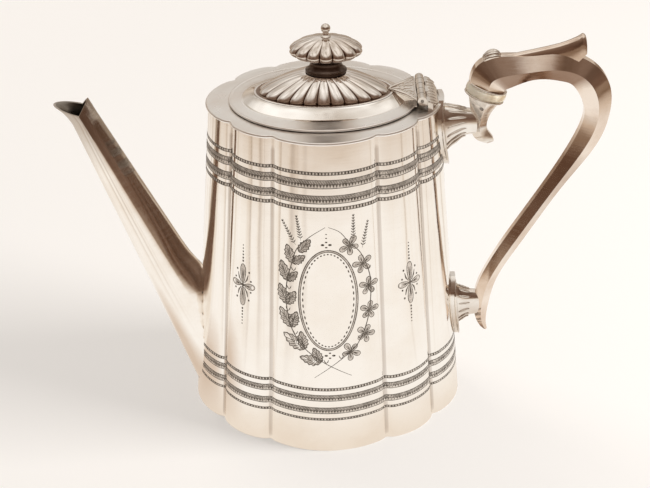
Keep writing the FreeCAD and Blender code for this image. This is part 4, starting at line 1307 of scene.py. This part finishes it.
paper, tree = bare_finish("paper")
fibre = add_node(tree, "TexNoise", "Fac", {"Scale": 6.0})
paper_tone = ramp(tree, fibre, (0.0, (0.9, 0.87, 0.84)), (1.0, (0.94, 0.92, 0.89)))
matt = add_node(tree, "BsdfDiffuse", "BSDF", {"Color": paper_tone})
glow = add_node(tree, "Emission", "Emission",
                {"Color": (1.0, 0.985, 0.965, 1.0), "Strength": 1.0})
seen = add_node(tree, "LightPath", None).outputs
either = combined(tree, "MAXIMUM", seen["Is Camera Ray"], seen["Is Glossy Ray"])
passed = combined(tree, "MAXIMUM", either, seen["Is Transmission Ray"])
lift = combined(tree, "MULTIPLY", passed, PALE_SHARE)
blend = add_node(tree, "MixShader", "Shader", {"Fac": lift, 1: matt, 2: glow})
add_node(tree, "OutputMaterial", None, {"Surface": blend})
corners = [Vector((x * FLOOR_HALF, y * FLOOR_HALF, 0))
           for x, y in ((-1, -1), (1, -1), (1, 1), (-1, 1))]
floor = new_piece("floor", corners, [(0, 1, 2, 3)])
coat(floor, paper)


# Studio light: a soft lamp on the right, a weaker one behind on the left, and a pale warm room.
# They light the paper and the ivory; polished metal shows the tent below.
def soft_lamp(name, place, aim, size, watts, colour):
    lamp = bpy.data.lights.new(name, "AREA")
    lamp.shape = "RECTANGLE"
    lamp.size, lamp.size_y = size
    lamp.energy = watts
    lamp.color = colour
    holder = bpy.data.objects.new(name, lamp)
    holder.location = place
    holder.rotation_euler = (Vector(aim) - Vector(place)).to_track_quat("-Z", "Y").to_euler()
    holder.visible_glossy = False
    bpy.context.scene.collection.objects.link(holder)


soft_lamp("key_lamp", (1.4, -0.25, 0.9), (0, 0, 0.08), (0.7, 0.7), 27.0, (1.0, 0.98, 0.96))
soft_lamp("fill_lamp", (-0.9, 0.9, 1.1), (0, 0, 0.08), (0.8, 0.8), 8.0, (1.0, 0.95, 0.89))
room = bpy.data.worlds.new("room")
bpy.context.scene.world = room
room.use_nodes = True
feed(room.node_tree, room.node_tree.nodes["Background"],
     {"Color": (1.0, 0.92, 0.85, 1.0), "Strength": 0.42})


# Reflecting tent: cards that only polished metal sees, as a photographer hangs them round silver.
# In front dark brown at eye level and white overhead, greyer behind, and a tabletop that darkens
# away from the pot, with painted shade round its foot and a painted shadow of the pot to its left.
TENT_RADIUS = 2600.0
TABLE_RADII = (TENT_RADIUS, 800, 400, 200, 120, 50)
TABLE_HEIGHT = 0.6
SHADE_PLACE = (-0.1, 0.0, 0.0)


def card_only_for_metal(card):
    card.visible_camera = False
    card.visible_diffuse = False
    card.visible_shadow = False
    card.visible_transmission = False


def card_paper(name):
    # Plain glowing paper; its colour follows a place, or the direction in which that place lies
    finish, tree = bare_finish(name)
    place = add_node(tree, "TexCoord", "Object")
    turn = add_node(tree, "VectorMath", "Vector", {0: place}, operation="NORMALIZE")
    parts = add_node(tree, "SeparateXYZ", None, {"Vector": turn}).outputs
    light = add_node(tree, "Emission", None)
    add_node(tree, "OutputMaterial", None, {"Surface": light.outputs["Emission"]})
    return finish, tree, place, turn, parts, light


tent_paper, tree, place, turn, parts, light = card_paper("tent_paper")
before = ramp(tree, parts["Z"], (0.0, (0.19, 0.115, 0.08)), (1.0, (1.0, 0.99, 0.97)),
              (0.18, (0.14, 0.085, 0.06)), (0.63, (0.25, 0.18, 0.14)), (0.75, (0.95, 0.93, 0.9)),
              (0.9, (1.0, 0.98, 0.95)))
behind = ramp(tree, parts["Z"], (0.0, (0.62, 0.54, 0.46)), (1.0, (1.0, 0.99, 0.97)),
              (0.3, (0.5, 0.44, 0.38)), (0.5, (0.72, 0.7, 0.68)), (0.62, (0.72, 0.7, 0.67)),
              (0.78, (1.0, 0.98, 0.95)))
tent_colour = mixed(tree, "MIX", spread(tree, parts["Y"], -0.25, 0.35), before, behind)
folds = speckle(tree, turn, 2.6, 2.0)
fold_tone = ramp(tree, folds, (0.36, (0.62, 0.56, 0.5)), (0.6, (1.12, 1.1, 1.08)))
feed(tree, light, {"Color": mixed(tree, "MULTIPLY", 1.0, tent_colour, fold_tone)})
tent_rings = []
for k in range(17):
    angle = radians(90 * k / 16)
    radius = TENT_RADIUS * max(cos(angle), 0.01)
    tent_rings.append(oval_ring((radius, radius), TENT_RADIUS * sin(angle),
                                even_turns(CIRCLE, 48)))
tent = skin("tent", tent_rings)
coat(tent, tent_paper)
card_only_for_metal(tent)

table_paper, tree, place, turn, parts, light = card_paper("table_paper")
reach = add_node(tree, "VectorMath", "Value", {0: place}, operation="LENGTH")
# Painted shade just round the foot, white near the pot, darker further away
away = ramp(tree, reach, (0.06, (0.88, 0.79, 0.69)), (0.85, (0.3, 0.21, 0.15)),
            (0.1, (1.0, 0.965, 0.92)), (0.31, (0.99, 0.95, 0.9)), (0.5, (0.72, 0.61, 0.51)))
streak_tone = ramp(tree, speckle(tree, turn, 7.0, 3.0), (0.34, (0.42, 0.33, 0.26)),
                   (0.56, (1.0, 1.0, 1.0)), (0.42, (0.74, 0.65, 0.55)), (0.47, (0.98, 0.96, 0.93)))
aside = add_node(tree, "Math", "Value", {0: parts["X"]}, operation="ABSOLUTE")
streak_share = combined(tree, "MULTIPLY", spread(tree, aside, 0.25, 0.75, 0.03, 0.6),
                        spread(tree, reach, 0.1, 0.26))
streaked = mixed(tree, "MULTIPLY", streak_share, away, streak_tone)
# Painted shadow of the pot on the card, left of its foot
from_shade = add_node(tree, "VectorMath", "Value", {0: place, 1: SHADE_PLACE}, operation="DISTANCE")
pot_shade = ramp(tree, from_shade, (0.015, (0.72, 0.62, 0.54)), (0.06, (1.0, 1.0, 1.0)))
feed(tree, light, {"Color": mixed(tree, "MULTIPLY", 1.0, streaked, pot_shade)})
table_turns = even_turns(CIRCLE, 96)
table_rings = [oval_ring((radius, radius), TABLE_HEIGHT, table_turns) for radius in TABLE_RADII]
table_card = skin("table_card", table_rings)
coat(table_card, table_paper)
card_only_for_metal(table_card)


# Camera: a long lens in front of the pot, looking down about a third of a right angle.
# It is turned a little off level.
LENS = 80.94
LOOK_DOWN = 32.13
OFF_LEVEL = 0.82
CAMERA_PLACE = Vector((-0.44, -610.15, 469.78))
camera_data = bpy.data.cameras.new("camera")
camera_data.sensor_fit = "HORIZONTAL"
camera_data.sensor_width = 36.0
camera_data.lens = LENS
camera_data.clip_start = 0.01
camera = bpy.data.objects.new("camera", camera_data)
turned = (Matrix.Rotation(radians(90 - LOOK_DOWN), 4, "X")
          @ Matrix.Rotation(radians(-OFF_LEVEL), 4, "Z"))
camera.matrix_world = Matrix.Translation(CAMERA_PLACE * MM) @ turned
bpy.context.scene.collection.objects.link(camera)
bpy.context.scene.camera = camera
bpy.context.scene.view_settings.view_transform = "Standard"
